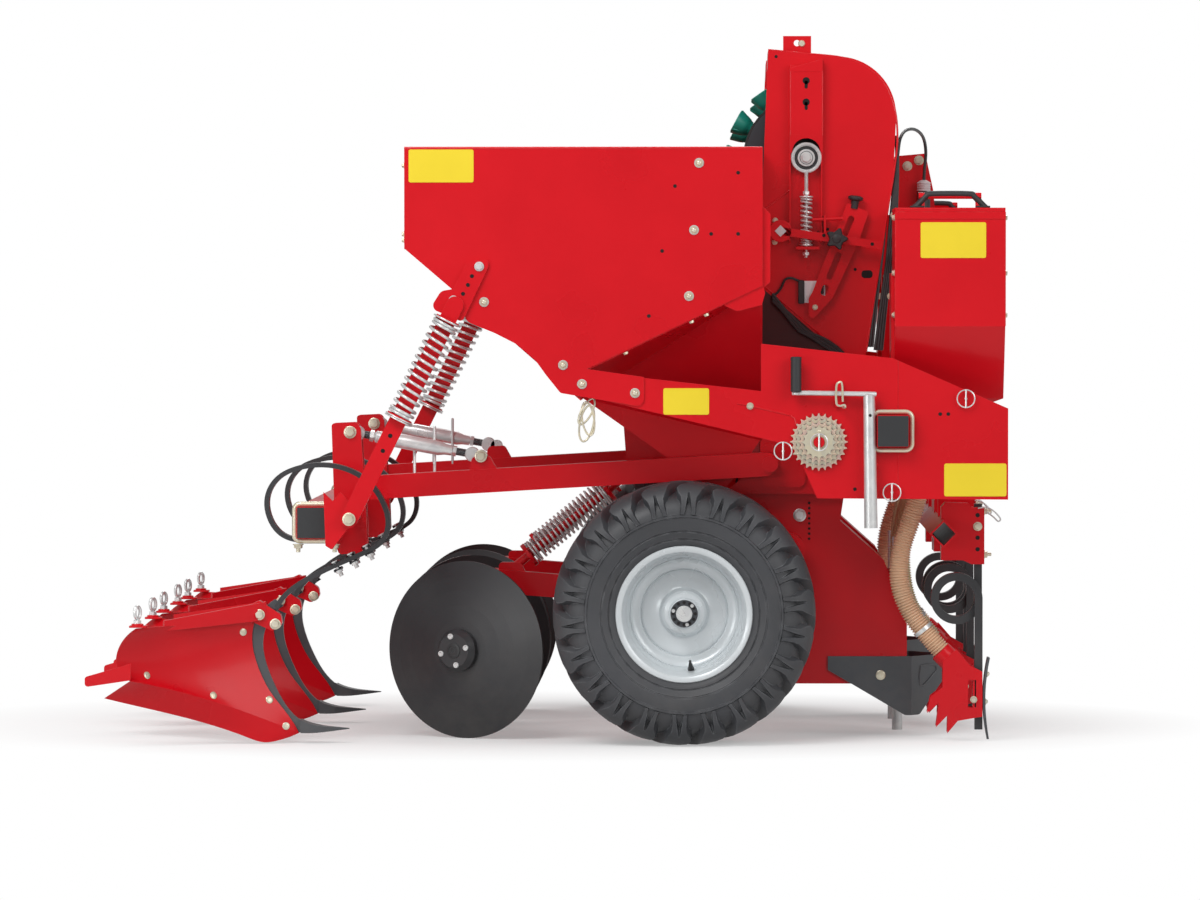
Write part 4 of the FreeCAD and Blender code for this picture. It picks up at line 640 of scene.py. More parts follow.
def disc_seat(place):
    """A point out in front of a disc's hub and the way that the disc faces.

    Place is 1 for the outer disc of a row and -1 for the inner one.
    """
    out = V((-math.sin(DISC_TOE), place * math.cos(DISC_TOE), 0))
    return V((-219, ROW + place * DISC_SPREAD, 225)) + out * 150, out


def disc_screws(place, node):
    """Cap screws of a covering disc."""
    centre, out = disc_seat(place)
    u, v = axes_of(out)[:2]

    def draw(bm):
        for angle in [turn + 0.5 for turn in around(4)]:
            start = centre + (u * math.cos(angle) + v * math.sin(angle)) * 37
            at = land(node, start, -out)[0]
            turned(bm, [(7.5, -2), (7.5, 2.6), (6.6, 3.6), (4.4, 3.6), (3.2, 1.6), (0, 1.6)], at, out, 16)
    return draw


def disc_plug(place, node):
    """Plastic plug in the middle of a covering disc."""
    centre, out = disc_seat(place)

    def draw(bm):
        profile = [(20, -1), (19.4, 1.8), (17, 3.0), (13.4, 3.4), (12.6, 2.0), (5.4, 2.0), (4.6, 0.8),
                   (0, 0.8)]
        turned(bm, profile, land(node, centre, -out)[0], out, 28)
    return draw


def strut_coils(bm):
    coil(bm, STRUT_FOOT + STRUT_WAY * 286, STRUT_FOOT + STRUT_WAY * 548, 30.5, 4.0, 11.5)


def strut_seats(bm):
    for reach, thick in ((275, 3.2), (279.5, 3.2), (549.5, 4.0)):
        turned(bm, [(26, 0), (36.5, 0), (37, 1), (37, thick - 1), (36.5, thick), (26, thick)],
               STRUT_FOOT + STRUT_WAY * reach, STRUT_WAY, 32, joined=True)


def disc_coils(bm):
    low, high = V((-104, ROW, 424)), V((214, ROW, 686))
    way = (high - low).normalized()
    coil(bm, low + way * 60, low + way * 310, 29, 3.2, 17)


def build_springs():
    piece("strut_coils", "zinc", strut_coils, twin=True, stands_for=["strut_springs"], sharp=60)
    piece("strut_seats", "zinc", strut_seats, twin=True)
    piece("disc_coils", "zinc", disc_coils, twin=True, stands_for=["disc_springs"], sharp=60)
    for name, side in BOTH_WHEELS:
        for place, out in (("outer", 1), ("inner", -1)):
            body = "disc_" + place + "_" + name
            node_name = "cover_disc_" + place + "_left"
            piece("cap_screws_" + place + "_" + name, "zinc", disc_screws(out, node_name), body, side)
            piece("cap_plug_" + place + "_" + name, "black_plastic", disc_plug(out, node_name), body, side)


# ---------------------------------------------------------------- fertiliser hoses
HOSE_OUTER = [(936, 650, 735), (936, 650, 664), (916, 650, 578), (881, 650, 484), (876, 650, 400),
              (905, 650, 325), (955, 650, 261), (1006, 650, 205)]
HOSE_INNER = [(965, 590, 735), (965, 590, 684), (950, 540, 648), (941, 440, 636), (940, 330, 630),
              (937, 230, 621), (916, 150, 588), (900, 104, 505), (897, 100, 415), (912, 100, 330),
              (950, 100, 262), (1006, 100, 205)]


def smooth_route(points):
    """Points of the smooth line whose control points are given, in millimetres."""
    curve = bpy.data.curves.new("route", "CURVE")
    curve.dimensions = "3D"
    curve.resolution_u = 24
    spline = curve.splines.new("NURBS")
    spline.points.add(len(points) - 1)
    for spot, point in zip(spline.points, points):
        spot.co = (*point, 1.0)
    spline.order_u = 3
    spline.use_endpoint_u = True
    holder = bpy.data.objects.new("route", curve)
    line = [vertex.co.copy() for vertex in bpy.data.meshes.new_from_object(holder).vertices]
    bpy.data.objects.remove(holder)
    bpy.data.curves.remove(curve)
    return line


def evenly(line, step):
    """The same line cut into equal steps."""
    out = [line[0]]
    rest = step
    for a, b in zip(line, line[1:]):
        length = (b - a).length
        gone = 0.0
        while length - gone >= rest:
            gone += rest
            out.append(a.lerp(b, gone / length))
            rest = step
        rest -= length - gone
    return out


def ribbed_hose(route, pitch=7.0):
    def draw(bm):
        line = evenly(smooth_route(route), pitch / 6)
        wave = (21.2, 22.2, 24.6, 25.2, 24.6, 22.2)
        tube(bm, line, [wave[i % 6] for i in range(len(line))], 24)
    return draw


def hose_bands(bm):
    for route in (HOSE_OUTER, HOSE_INNER):
        line = evenly(smooth_route(route), 4.0)
        for index in (6, -26):
            way = (line[index + 1] - line[index]).normalized()
            turned(bm, [(25.6, -5), (26.4, -5), (26.4, 5), (25.6, 5)], line[index], way, 32, joined=True)
            u, v = axes_of(way)[:2]
            turned(bm, [(4.5, -9), (4.5, 9)], line[index] - v * 29, u, 6)


def hose_spigots(bm):
    """Tubes of the coulters that the hoses are pushed over."""
    for y in COULTERS:
        end = V((1006, y, 205))
        way = (end - V((952, y, 258))).normalized()
        turned(bm, [(19, -20), (27.5, -18), (28.5, -14), (28.5, 34), (22, 40)], end - way * 14, way, 28)


def build_hoses():
    piece("ribbed_hose_outer", "hose_plastic", ribbed_hose(HOSE_OUTER), twin=True,
          stands_for=["fertiliser_hoses"], sharp=80)
    piece("ribbed_hose_inner", "pale_hose", ribbed_hose(HOSE_INNER), twin=True, sharp=80)
    piece("hose_bands", "zinc", hose_bands, twin=True)
    piece("hose_spigots", "red_paint", hose_spigots, twin=True)


# ---------------------------------------------------------------- sprockets and crank
SPROCKETS = V((673.2, SIDE_OUT, 759.6))
SPROCKET_STEP = 9
# Part of a tooth's pitch, and how far the outline stands out there.
TOOTH = ((-0.36, 0.0), (-0.2, 2.6), (-0.07, 7.6), (0.07, 7.6), (0.2, 2.6), (0.36, 0.0))


def sprocket_size(level):
    """Teeth and root radius of a spare sprocket; level 0 is the rearmost."""
    teeth = 28 - 4 * level
    return teeth, 2.29 * teeth


def sprocket_wheels(levels):
    """Spare sprockets on their peg, each smaller than the one behind it."""
    def draw(bm):
        for level in levels:
            teeth, root = sprocket_size(level)
            low = SIDE_OUT + 3 + level * SPROCKET_STEP
            outline = []
            for i in range(teeth):
                for part, reach in TOOTH:
                    angle = 2 * math.pi * (i + part) / teeth
                    outline.append((SPROCKETS.x + (root + reach) * math.sin(angle),
                                    SPROCKETS.z + (root + reach) * math.cos(angle)))
            prism(bm, outline, low, low + 6, edge=1.3)
            turned(bm, [(root - 14, -3.2), (root - 14, 0.2)], (SPROCKETS.x, low, SPROCKETS.z), (0, 1, 0), 32)
    return draw


def sprocket_shadow_rings(bm):
    """Dark rings that paint the shadow between the sprockets."""
    for level in (1, 2, 3):
        root = sprocket_size(level)[1]
        turned(bm, [(root - 4, -3), (root + 1.5, -2.6), (root + 1.5, -0.4), (root - 4, 0)],
               SPROCKETS + V((0, 3 + level * SPROCKET_STEP, 0)), (0, 1, 0), 48, joined=True)


def sprocket_boss(bm):
    turned(bm, [(22, 0), (22, 37), (20.5, 38.5), (16, 38.5), (16, 34), (0, 34)], SPROCKETS, (0, 1, 0), 32)
    turned(bm, [(4, 33), (4, 37), (2, 38)], SPROCKETS + V((0, 0, 27)), (0, 1, 0), 12)


def sprocket_peg(bm):
    turned(bm, [(14, 30), (14, 44), (12.5, 46), (0, 46)], SPROCKETS, (0, 1, 0), 24)


def sprocket_pin(bm):
    tube(bm, [SPROCKETS + V((0, 49, -22)), SPROCKETS + V((0, 49, 22))], 2.6, 8)
    tube(bm, ring_of(SPROCKETS + V((0, 50, 0)), 21, (0, 1, 0)), 1.6, 6, joined=True)


def linch_pin(bm, at, size=22.0):
    """Pin with a spring ring folded over its end."""
    x, z = at
    y = PANEL_OUT + 1
    turned(bm, [(3.6, -4), (3.6, 3), (2.6, 4.2), (0, 4.2)], (x, y, z), (0, 1, 0), 14)
    tube(bm, ring_of((x, y + 3, z), size, (0, 1, 0)), 1.7, 6, joined=True)
    tube(bm, [(x, y + 3, z - size), (x, y + 3.5, z + size)], 2.2, 8)


def linch_pins(bm):
    for spot in ((1038.6, 867.4), (855, 634), (584, 737)):
        linch_pin(bm, spot)


def side_seams(bm):
    """Pressed seam at the rear of each side plate, and the edge of its front plate."""
    y = SIDE_OUT
    tube(bm, [(470, y, 856), (560, y, 836), (602, y, 826)], 2.2, 8)
    tube(bm, [(602, y, 826), (612, y, 818), (616, y, 800)], 2.2, 8)
    tube(bm, [(870, y, 619), (870, y, 961)], 1.3, 6)


def side_holes(bm):
    for x, z in ((975, 829), (995, 829), (763, 642), (790, 800)):
        hole(bm, (x, SIDE_OUT, z), 4.6)


def crank_tube(bm):
    y = SIDE_OUT + 25
    tube(bm, [(797.3, y, 874), (798, y, 856), (802.5, y, 546)], [14.5, 14.5, 16.5], 24)
    tube(bm, [(606, y, 882), (660, y, 881.5), (812, y, 879), (816, y, 879)], [6.2, 6.2, 6.2, 4.6], 14)
    turned(bm, [(12, -4), (12, 3), (10, 4)], (797.3, y, 874), (0, 0, 1), 20)
    turned(bm, [(9, 0), (9, 4), (7, 5)], (616, y + 4, 878), (0, 0, 1), 16)


def crank_grip(bm):
    y = SIDE_OUT + 29
    profile = [(11, 0), (13.4, 1.5)]
    for i in range(10):
        profile += [(13.8, 4 + i * 7.6), (13.0, 7.4 + i * 7.6)]
    profile += [(14.2, 82), (13.6, 86.5), (10, 88), (0, 88)]
    turned(bm, profile, (616, y, 884), (0, 0, 1), 24)


def crank_holes(bm):
    for z in (826, 566):
        at = land("jack_crank", (800, -1300, z), (0, 1, 0))[0]
        hole(bm, (at.x, -at.y, at.z), 4, -0.6, 0.8, 12)


def crank_clip(bm):
    block(bm, (714, 732), (SIDE_OUT, SIDE_OUT + 12), (846, 908))
    block(bm, (784, 820), (SIDE_OUT, SIDE_OUT + 24), (700, 706))


def crank_clasp(bm):
    y = SIDE_OUT + 25
    tube(bm, flowing([(733, y - 12, 846), (738, y + 6, 846), (736, y + 10, 852), (724, y + 12, 850),
                      (716, y + 12, 858), (716, y + 12, 898), (722, y + 10, 908), (730, y + 6, 904),
                      (732, y + 8, 860)], 6), 2.8, 8)


def build_fittings():
    piece("sprocket_wheels", "rainbow_zinc", sprocket_wheels((0, 2)), side=-1,
          stands_for=["sprocket_stack"])
    piece("sprocket_wheels_between", "yellow_zinc", sprocket_wheels((1, 3)), side=-1)
    # Painted shadow between the sprockets.
    piece("sprocket_shadow_rings", "dark_steel", sprocket_shadow_rings, side=-1)
    piece("sprocket_boss", "yellow_zinc", sprocket_boss, side=-1)
    piece("sprocket_peg", "red_paint", sprocket_peg, side=-1)
    piece("sprocket_pin", "zinc", sprocket_pin, side=-1)
    piece("linch_pins", "zinc", linch_pins, twin=True)
    piece("side_seams", "red_paint", side_seams, twin=True)
    piece("side_holes", "painted_hole_shade", side_holes, twin=True)
    piece("crank_tube", "zinc", crank_tube, side=-1, stands_for=["jack_crank"])
    piece("crank_grip", "black_plastic", crank_grip, side=-1)
    piece("crank_holes", "painted_hole_shade", crank_holes, side=-1)
    piece("crank_clip", "red_paint", crank_clip, side=-1)
    piece("crank_clasp", "yellow_zinc", crank_clasp, side=-1)


# ---------------------------------------------------------------- hopper
HOPPER_BOLTS = ((36.4, 950.8), (83.7, 903.5), (215.6, 881.1), (374.9, 1453.5), (362.4, 1286.7),
                (350, 1122.5), (-160.2, 1107.6))


def hopper_bolts(bm):
    for x, z in HOPPER_BOLTS:
        dome_head(bm, seat("hopper_sides", x, z)[0] + V((0, 2, 0)), (0, 1, 0), 8)
    hex_head(bm, (502, SIDE_OUT, 848.7), (0, 1, 0), 7)
    for z in (1448, 1277, 1262):
        hex_head(bm, (-359, 838, z), (-1, 0, 0), 6)
    for x, z in ((392, 1079), (355, 1062), (191, 984)):
        hex_head(bm, (x, 846, z), (0.427, 0, -0.904), 6.5)


def hopper_washers(bm):
    for x, z in HOPPER_BOLTS:
        turned(bm, [(5, 0), (11.6, 0), (12.2, 0.6), (12.2, 1.8), (11.6, 2.3), (5, 2.3)],
               seat("hopper_sides", x, z)[0], (0, 1, 0), 28)


def hopper_rim(bm):
    """Folded top edge of the hopper."""
    tube(bm, [(-359, 857, 1490), (531, 857, 1490)], 4.2, 8)
    tube(bm, [(-356, -852, 1490), (-356, 852, 1490)], 4.0, 8)


def panel_holes(bm):
    for x, z in ((315, 1396), (405, 1277), (472, 1429), (472, 1277), (283, 1234.5), (250, 1072.7)):
        hole(bm, (x, PANEL_OUT, z), 4.6, -1)
    prism(bm, rectangle((146, 157), (888, 899), 2), SIDE_OUT - 1, SIDE_OUT + 0.5, edge=0.1)


def hopper_flange(bm):
    """Folded front edge of the hopper side, and the rounded ear below it."""
    prism(bm, [(527, 1137), (531, 1137), (552, 1158), (553, 1326), (531, 1349), (527, 1349)], 846, 849,
          edge=0.5)
    prism(bm, [(439, 1098), (470, 1084, 20), (531, 1100), (540, 1130, 16), (534, 1150), (439, 1120)],
          851, 855.5, edge=0.6)


def spare_clips(bm):
    """Bunch of wire clips that hangs from a bolt under the hopper."""
    for x, z, wide, high, turn in ((92, 858, 15, 42, 0.15), (104, 850, 17, 46, -0.2),
                                   (112, 866, 13, 36, -0.5)):
        loop = []
        for angle in around(24):
            u, v = wide * math.sin(angle), high * (math.cos(angle) - 1)
            loop.append((x + u * math.cos(turn) - v * math.sin(turn),
                         PANEL_OUT - 22 + 3 * math.sin(2 * angle),
                         z + u * math.sin(turn) + v * math.cos(turn)))
        tube(bm, loop, 2.6, 8, joined=True, up=(0, 1, 0))


# Ends of each plate along X and Z, and the face that it is stuck on.
SIGNS = (((-348, -186), (1405, 1487), PANEL_OUT), ((926, 1089), (1217, 1306), 845.0),
         ((985, 1140), (624, 706), SIDE_OUT), ((286, 400), (827, 893), SIDE_OUT))


def sign_plates(bm):
    """Blank yellow plates."""
    for x, z, y in SIGNS:
        prism(bm, rectangle(x, z, 5), y, y + 1.4, edge=0.4)


def build_hopper():
    piece("hopper_bolts", "yellow_zinc", hopper_bolts, twin=True)
    piece("hopper_washers", "zinc", hopper_washers, twin=True)
    piece("hopper_flange", "red_paint", hopper_flange, twin=True)
    piece("spare_clips", "yellow_zinc", spare_clips, side=-1)
    piece("hopper_rim", "red_paint", hopper_rim, twin=True)
    piece("panel_holes", "painted_hole_shade", panel_holes, twin=True)
    piece("sign_plates", "sign_yellow", sign_plates, twin=True)


# ---------------------------------------------------------------- elevators
LOWER = V((560.0, 0.0, 330.0))
BELT_UPPER = 160.0
BELT_LOWER = 100.0
CUP_PITCH = 76.0
BEARING = V((UPPER.x, HOUSE_OUT, UPPER.z))
PIVOT = V((580, HOUSE_OUT, 1287))


def cup_places():
    """Feet and outward ways of the cups on the rising strand and over the top."""
    axis = LOWER - UPPER
    lean = math.acos((BELT_UPPER - BELT_LOWER) / axis.length)
    turn = math.atan2(axis.z, axis.x) - lean
    out = V((math.cos(turn), 0, math.sin(turn)))
    along = V((out.z, 0, -out.x))
    places = [(UPPER + out * BELT_UPPER - along * (i * CUP_PITCH), out) for i in range(10)]
    for i in range(1, 4):
        angle = turn - i * CUP_PITCH / BELT_UPPER
        way = V((math.cos(angle), 0, math.sin(angle)))
        places.append((UPPER + way * BELT_UPPER, way))
    return places


def planting_cups(bm):
    profile = [(14, 0), (18, 1), (19, 6), (21, 8), (25, 18), (29, 34), (31, 42), (29.4, 43.4),
               (27.6, 42), (24, 28), (17, 17), (8, 12), (0, 11)]
    for foot, way in cup_places():
        u, v = axes_of(way)[:2]
        for side in (-1, 1):
            at = foot + V((0, ROW + side * 56, 0))
            turned(bm, profile, at, way, 22)
            for angle in (0.6, 2.7, 4.8):
                reach = u * math.cos(angle) + v * math.sin(angle)
                tube(bm, [at + way * 8 + reach * 19, at + way * 40 + reach * 31.5], 1.8, 6)


def keyhole(bm, x, z):
    hole(bm, (x, HOUSE_OUT + 22, z), 9, 0, 0.6, 20)
    prism(bm, [(x - 4, z - 20, 3.9), (x + 4, z - 20, 3.9), (x + 4, z), (x - 4, z)], HOUSE_OUT + 21.8,
          HOUSE_OUT + 22.6, edge=0.1)


def housing_holes(bm):
    keyhole(bm, 645, 1668)
    keyhole(bm, 645, 1614)
    prism(bm, rectangle((786, 814), (1168, 1188), 8), HOUSE_OUT - 0.2, HOUSE_OUT + 0.6, edge=0.1)
    for x, z in ((569, 1730), (700, 1292), (676, 1283), (770, 1190)):
        hole(bm, (x, HOUSE_OUT, z), 4, -1, 0.6)
    hole(bm, (UPPER.x, HOUSE_OUT, 1490), 34, 0, 0.6, 30)
    for x, z in ((812, 1254), (690, 1276)):
        hole(bm, seat("agitator_levers", x, z)[0], 4.6, 0, 0.6)


def bearing_arch(bm):
    """Lower edge of the channel cover, cut out round the bearing."""
    low, high = HOUSE_OUT + 20, HOUSE_OUT + 22.5
    x, z, radius = UPPER.x, 1486.0, 36.5
    rows = []
    for i in range(25):
        angle = math.pi * i / 24
        way = V((math.cos(angle), math.sin(angle)))
        reach = min(41.5 / max(abs(way.x), 0.01), 46 / max(way.y, 0.01))
        inner, outer = way * radius, way * reach
        rows.append([V((x + inner.x, low, z + inner.y)), V((x + inner.x, high, z + inner.y)),
                     V((x + outer.x, high, z + outer.y)), V((x + outer.x, low, z + outer.y))])
    skin(bm, rows)


def housing_folds(bm):
    y = HOUSE_OUT
    tube(bm, [(605, y, 1392), (537, y, 1341)], 2.2, 8)
    tube(bm, [(536, y, 1150), (728, y, 984)], 2.4, 8)


def painted_recess_shade(bm):
    """Dark red plate that paints the shade of the opening under the slanted lower edge of the housing's side.
    """
    prism(bm, [(534, 1143), (722, 981), (722, 940), (534, 940)], HOUSE_OUT - 0.4, HOUSE_OUT + 0.5, edge=0.1)


def sensor_window(bm):
    """Pale sensor plate on the side of the housing."""
    prism(bm, rectangle((640, 694), (1105, 1161)), HOUSE_OUT - 0.4, HOUSE_OUT + 1.6, edge=0.4)


def sensor_body(bm):
    prism(bm, rectangle((625, 641), (1103, 1163), 3), HOUSE_OUT - 0.4, HOUSE_OUT + 12, edge=1.5)
    prism(bm, rectangle((668, 690), (1128, 1150), 2), HOUSE_OUT + 1, HOUSE_OUT + 7, edge=1.0)


def housing_cables(bm):
    """Clipped cables on the outside of each housing."""
    y = HOUSE_OUT + 5
    line = [(563, y - 2, 1122), (580, y, 1140), (592, y + 4, 1164), (608, y + 3, 1168), (626, y, 1161)]
    tube(bm, flowing(line, 6), 3.2, 8)
    for shift in (0, 9, 17):
        line = [(560, y, 1128 - shift), (588, y + 2, 1092 - shift * 0.6), (624, y, 1054 - shift),
                (652, y + 3, 1030 - shift * 0.5), (690, y + 1, 1014 - shift), (724, y, 992 - shift),
                (742, y, 974 - shift)]
        tube(bm, flowing(line, 6), 4.6, 8)
    for shift in (0, 9, 18):
        line = [(880 - shift * 0.3, 517, 1512 + shift), (873 + shift * 0.2, 515, 1440),
                (862 + shift * 0.6, 514, 1330), (852 + shift * 0.5, 513, 1215),
                (838 + shift * 0.6, 512, 1110), (822 + shift * 0.8, 511, 985)]
        tube(bm, flowing(line, 6), 5.2, 8)


def cable_clips(bm):
    for x, z in ((862, 1328), (869, 1176), (854, 1122)):
        hex_head(bm, (x + 6, 520, z), (0, 1, 0), 7)


def sensor_cable(bm):
    """Cable from the right housing over to the plug on the mast."""
    line = [(880, -470, 1490), (886, -452, 1524), (902, -380, 1546), (930, -240, 1552), (954, -120, 1536),
            (963, -72, 1500), (960, -62, 1452), (958, -62, 1420)]
    tube(bm, flowing(line, 10), 4.2, 10)


def channel_cover(bm):
    """Upright channel over the tensioner, with its sloping top."""
    y = HOUSE_OUT
    for x in (604, 684):
        prism(bm, [(x - 1.5, 1255, 1.4), (x + 2, 1255, 1.4), (x + 2, 1540), (x - 1.5, 1540)], y, y + 20,
              edge=0.5)
    prism(bm, [(603, 1690), (603, 1700, 3), (687, 1724, 3), (687, 1690)], y, y + 23, edge=1.0)
    for x in (605, 686):
        tube(bm, [(x, y + 21.5, 1530), (x, y + 21.5, 1692)], 1.8, 8)


def housing_seams(bm):
    """Folded flange that follows the front and top edge of a housing."""
    y = HOUSE_OUT - 2
    line = [(798, 980), (816, 1100), (833.5, 1214), (856, 1362), (870, 1452), (877, 1530), (868, 1605),
            (838, 1668), (790, 1708), (735, 1728), (640, 1738), (549, 1747)]
    tube(bm, flowing([(x, y, z) for x, z in line], 6), 2.6, 8)


def tensioner_bearing(bm):
    turned(bm, [(30, 0), (39, 0), (39, 20), (37.5, 22), (33.5, 22), (32.5, 18), (30, 18)], BEARING,
           (0, 1, 0), 40, joined=True)
    turned(bm, [(17, 14), (22, 14), (22, 20), (21, 21), (17, 21)], BEARING, (0, 1, 0), 32, joined=True)
    hex_head(bm, BEARING + V((0, 20, 0)), (0, 1, 0), 13, washer=False)
    turned(bm, [(15.5, 18), (15.5, 22.5), (12, 23)], BEARING, (0, 1, 0), 32)


def tensioner_seal(bm):
    turned(bm, [(0, 0), (31.8, 0), (31.8, 14), (27, 16.5), (22, 15), (0, 15)], BEARING, (0, 1, 0), 36)


def tensioner_rod(bm):
    x, y = UPPER.x, HOUSE_OUT + 18
    tube(bm, [(x, y, 1220), (x, y, 1436)], 4.6, 12)
    for i in range(26):
        turned(bm, [(4.6, -0.9), (5.5, 0), (4.6, 0.9)], (x, y, 1388 + i * 1.9), (0, 0, 1), 12)
    for z in (1372, 1250):
        turned(bm, [(6, 0), (16.5, 0), (17, 0.8), (17, 3.2), (16.5, 4), (6, 4)], (x, y, z), (0, 0, 1), 24)
    for z in (1380, 1226):
        turned(bm, [(8.6, 0), (8.6, 8)], (x, y, z), (0, 0, 1), 6)
    coil(bm, (x, y, 1254), (x, y, 1372), 13.6, 2.5, 8.5, 1.0)


def tensioner_foot(bm):
    x = UPPER.x
    block(bm, (x - 26, x + 34), (HOUSE_OUT, HOUSE_OUT + 34), (1240, 1248), 0.8)
    tube(bm, [(x + 16, HOUSE_OUT + 30, 1316), (x + 92, HOUSE_OUT + 30, 1319)], 4.0, 10)
    block(bm, (x + 44, x + 50), (HOUSE_OUT, HOUSE_OUT + 36), (1262, 1326), 0.8)


def star_knob(bm):
    """Five-armed clamping knob."""
    x, z = 722, 1267
    outline = []
    for angle in [a + 0.35 for a in around(30)]:
        reach = 19 + 10.5 * (0.5 + 0.5 * math.cos(5 * angle)) ** 1.6
        outline.append((x + reach * math.cos(angle), z + reach * math.sin(angle)))
    prism(bm, outline, HOUSE_OUT + 44, HOUSE_OUT + 64, edge=3.0)
    turned(bm, [(12, 30), (12, 64), (9, 66), (0, 66)], (x, HOUSE_OUT, z), (0, 1, 0), 24)


def tee_knob(bm):
    """Round knob on the end of the quadrant."""
    at = V((768, HOUSE_OUT + 17, 1352))
    way = V((0.13, 0, 0.99)).normalized()
    turned(bm, [(9, -8), (9.5, 4), (11, 12), (18, 15), (19.5, 18), (19, 22), (12, 25), (0, 25.5)],
           at, way, 28)


def lever_bolts(bm):
    for x, z in ((567, 1314), (566, 1260)):
        hex_head(bm, (x, HOUSE_OUT, z), (0, 1, 0), 6)
    hex_head(bm, seat("agitator_levers", 668, 1094)[0], (0, 1, 0), 5.5)


def pivot_socket(bm):
    """Square socket in the clamp of the agitator lever."""
    at = seat("agitator_levers", PIVOT.x, PIVOT.z)[0]
    outer = [(PIVOT.x + 15 * math.cos(a), PIVOT.z + 15 * math.sin(a)) for a in around(4)]
    prism(bm, outer, at.y - 0.4, at.y + 2.4, edge=0.6)


def pivot_plate(bm):
    turned(bm, [(20, 38), (27, 38), (28, 39), (28, 45), (27, 46), (0, 46)], PIVOT, (0, 1, 0), 28)
    for z in (1302, 1264):
        block(bm, (556, 604), (HOUSE_OUT, HOUSE_OUT + 40), (z, z + 6))


def crown_bracket_bolts(bm):
    """Bolts of the bracket on top of each housing."""
    for x in (600, 645):
        hex_head(bm, (x, HOUSE_OUT - 34, 1742), (0, 0, 1), 7)
    turned(bm, [(9, -6), (9, 0), (7, 4), (0, 5)], (634, HOUSE_OUT - 24, 1764), (0, 1, 0), 20)


def build_elevators():
    piece("planting_cups", "cup_plastic", planting_cups, twin=True, stands_for=["belt_cups"])
    piece("housing_holes", "painted_hole_shade", housing_holes, twin=True)
    piece("channel_cover", "red_paint", channel_cover, twin=True)
    piece("bearing_arch", "red_paint", bearing_arch, twin=True)
    piece("housing_folds", "red_paint", housing_folds, twin=True)
    piece("painted_recess_shade", "shaded_red", painted_recess_shade, twin=True)
    piece("sensor_window", "white_plastic", sensor_window, side=-1)
    piece("sensor_body", "black_plastic", sensor_body, side=-1)
    piece("housing_cables", "black_plastic", housing_cables, twin=True)
    piece("cable_clips", "yellow_zinc", cable_clips, twin=True)
    piece("sensor_cable", "black_plastic", sensor_cable)
    piece("housing_seams", "red_paint", housing_seams, twin=True)
    piece("tensioner_bearing", "zinc", tensioner_bearing, twin=True, stands_for=["belt_tensioners"])
    piece("tensioner_seal", "black_plastic", tensioner_seal, twin=True)
    piece("tensioner_rod", "zinc", tensioner_rod, twin=True)
    piece("tensioner_foot", "red_paint", tensioner_foot, twin=True)
    piece("star_knob", "black_plastic", star_knob, twin=True)
    piece("tee_knob", "black_plastic", tee_knob, twin=True)
    piece("lever_bolts", "yellow_zinc", lever_bolts, twin=True)
    piece("pivot_plate", "red_paint", pivot_plate, twin=True)
    piece("pivot_socket", "zinc", pivot_socket, twin=True)
    piece("crown_bolts", "yellow_zinc", crown_bracket_bolts, twin=True)


# ---------------------------------------------------------------- mast, cables and boxes
def mast_bolts(bm):
    for x, z in ((916, 1462), (946, 1477)):
        hex_head(bm, (x, -38, z), (0, -1, 0), 10)
        hex_head(bm, (x, 38, z), (0, 1, 0), 10)
    hex_head(bm, (961, -38, 1399), (0, -1, 0), 8)


PLUG = V((958, -62, 1338))


def cable_plug(bm):
    """Sensor plug that the cable ends in, on the right mast plate."""
    turned(bm, [(17, 0), (17, 52), (15, 56), (9, 60)], PLUG, (0, 0, 1), 24)
    block(bm, (936, 980), (-82, -40), (1296, 1342), 1.5)


def plug_collar(bm):
    """Ribbed collar on top of the plug."""
    profile = []
    for i in range(4):
        profile += [(16.5, i * 6), (18.2, 2 + i * 6), (18.2, 4 + i * 6), (16.5, 5.5 + i * 6)]
    turned(bm, profile + [(12, 26), (8, 29), (0, 29)], PLUG + V((0, 0, 58)), (0, 0, 1), 24)


def lid_handle(bm):
    """Moulded grip with spread feet."""
    y = 815
    low = 1342.4
    line = [(912, y, low), (925, y, low + 12), (940, y, low + 29), (956, y, low + 34), (1044, y, low + 34),
            (1060, y, low + 29), (1076, y, low + 12), (1088, y, low)]
    tube(bm, flowing(line, 5), 8.2, 14, up=(0, 1, 0), wide=1.4)
    for x in (918, 1082):
        prism(bm, rectangle((x - 18, x + 18), (y - 16, y + 16), 6), low, low + 5, "xy", 1.5)


def lid_edge(bm):
    """Turned-down edge of the lid."""
    z = 1341.5
    tube(bm, [(866, 843.5, z - 2), (1134, 843.5, z - 2)], 2.6, 8)
    for x in (865, 1135):
        tube(bm, [(x, 560, z - 2), (x, 843, z - 2)], 2.4, 8)


def box_trim(bm):
    prism(bm, rectangle((862, 1138), (1314, 1331.5)), 844.2, 847.2)
    for x in (863.6, 1136.4):
        tube(bm, [(x, 843.8, 1048), (x, 843.8, 1314)], 1.8, 6)


def box_bolts(bm):
    for z in (1318, 1180, 1075):
        hex_head(bm, (1137, 790, z), (1, 0, 0), 6.5)
        hex_head(bm, (863, 790, z), (-1, 0, 0), 6.5)


def build_boxes():
    piece("mast_bolts", "yellow_zinc", mast_bolts)
    piece("cable_plug", "black_plastic", cable_plug)
    piece("plug_collar", "pale_plastic", plug_collar)
    for name, side in BOTH_WHEELS:
        piece("lid_handle_" + name, "black_plastic", lid_handle, "lid_" + name, side)
        piece("lid_edge_" + name, "red_paint", lid_edge, "lid_" + name, side)
    piece("box_trim", "red_paint", box_trim, twin=True)
    piece("box_bolts", "yellow_zinc", box_bolts, twin=True)


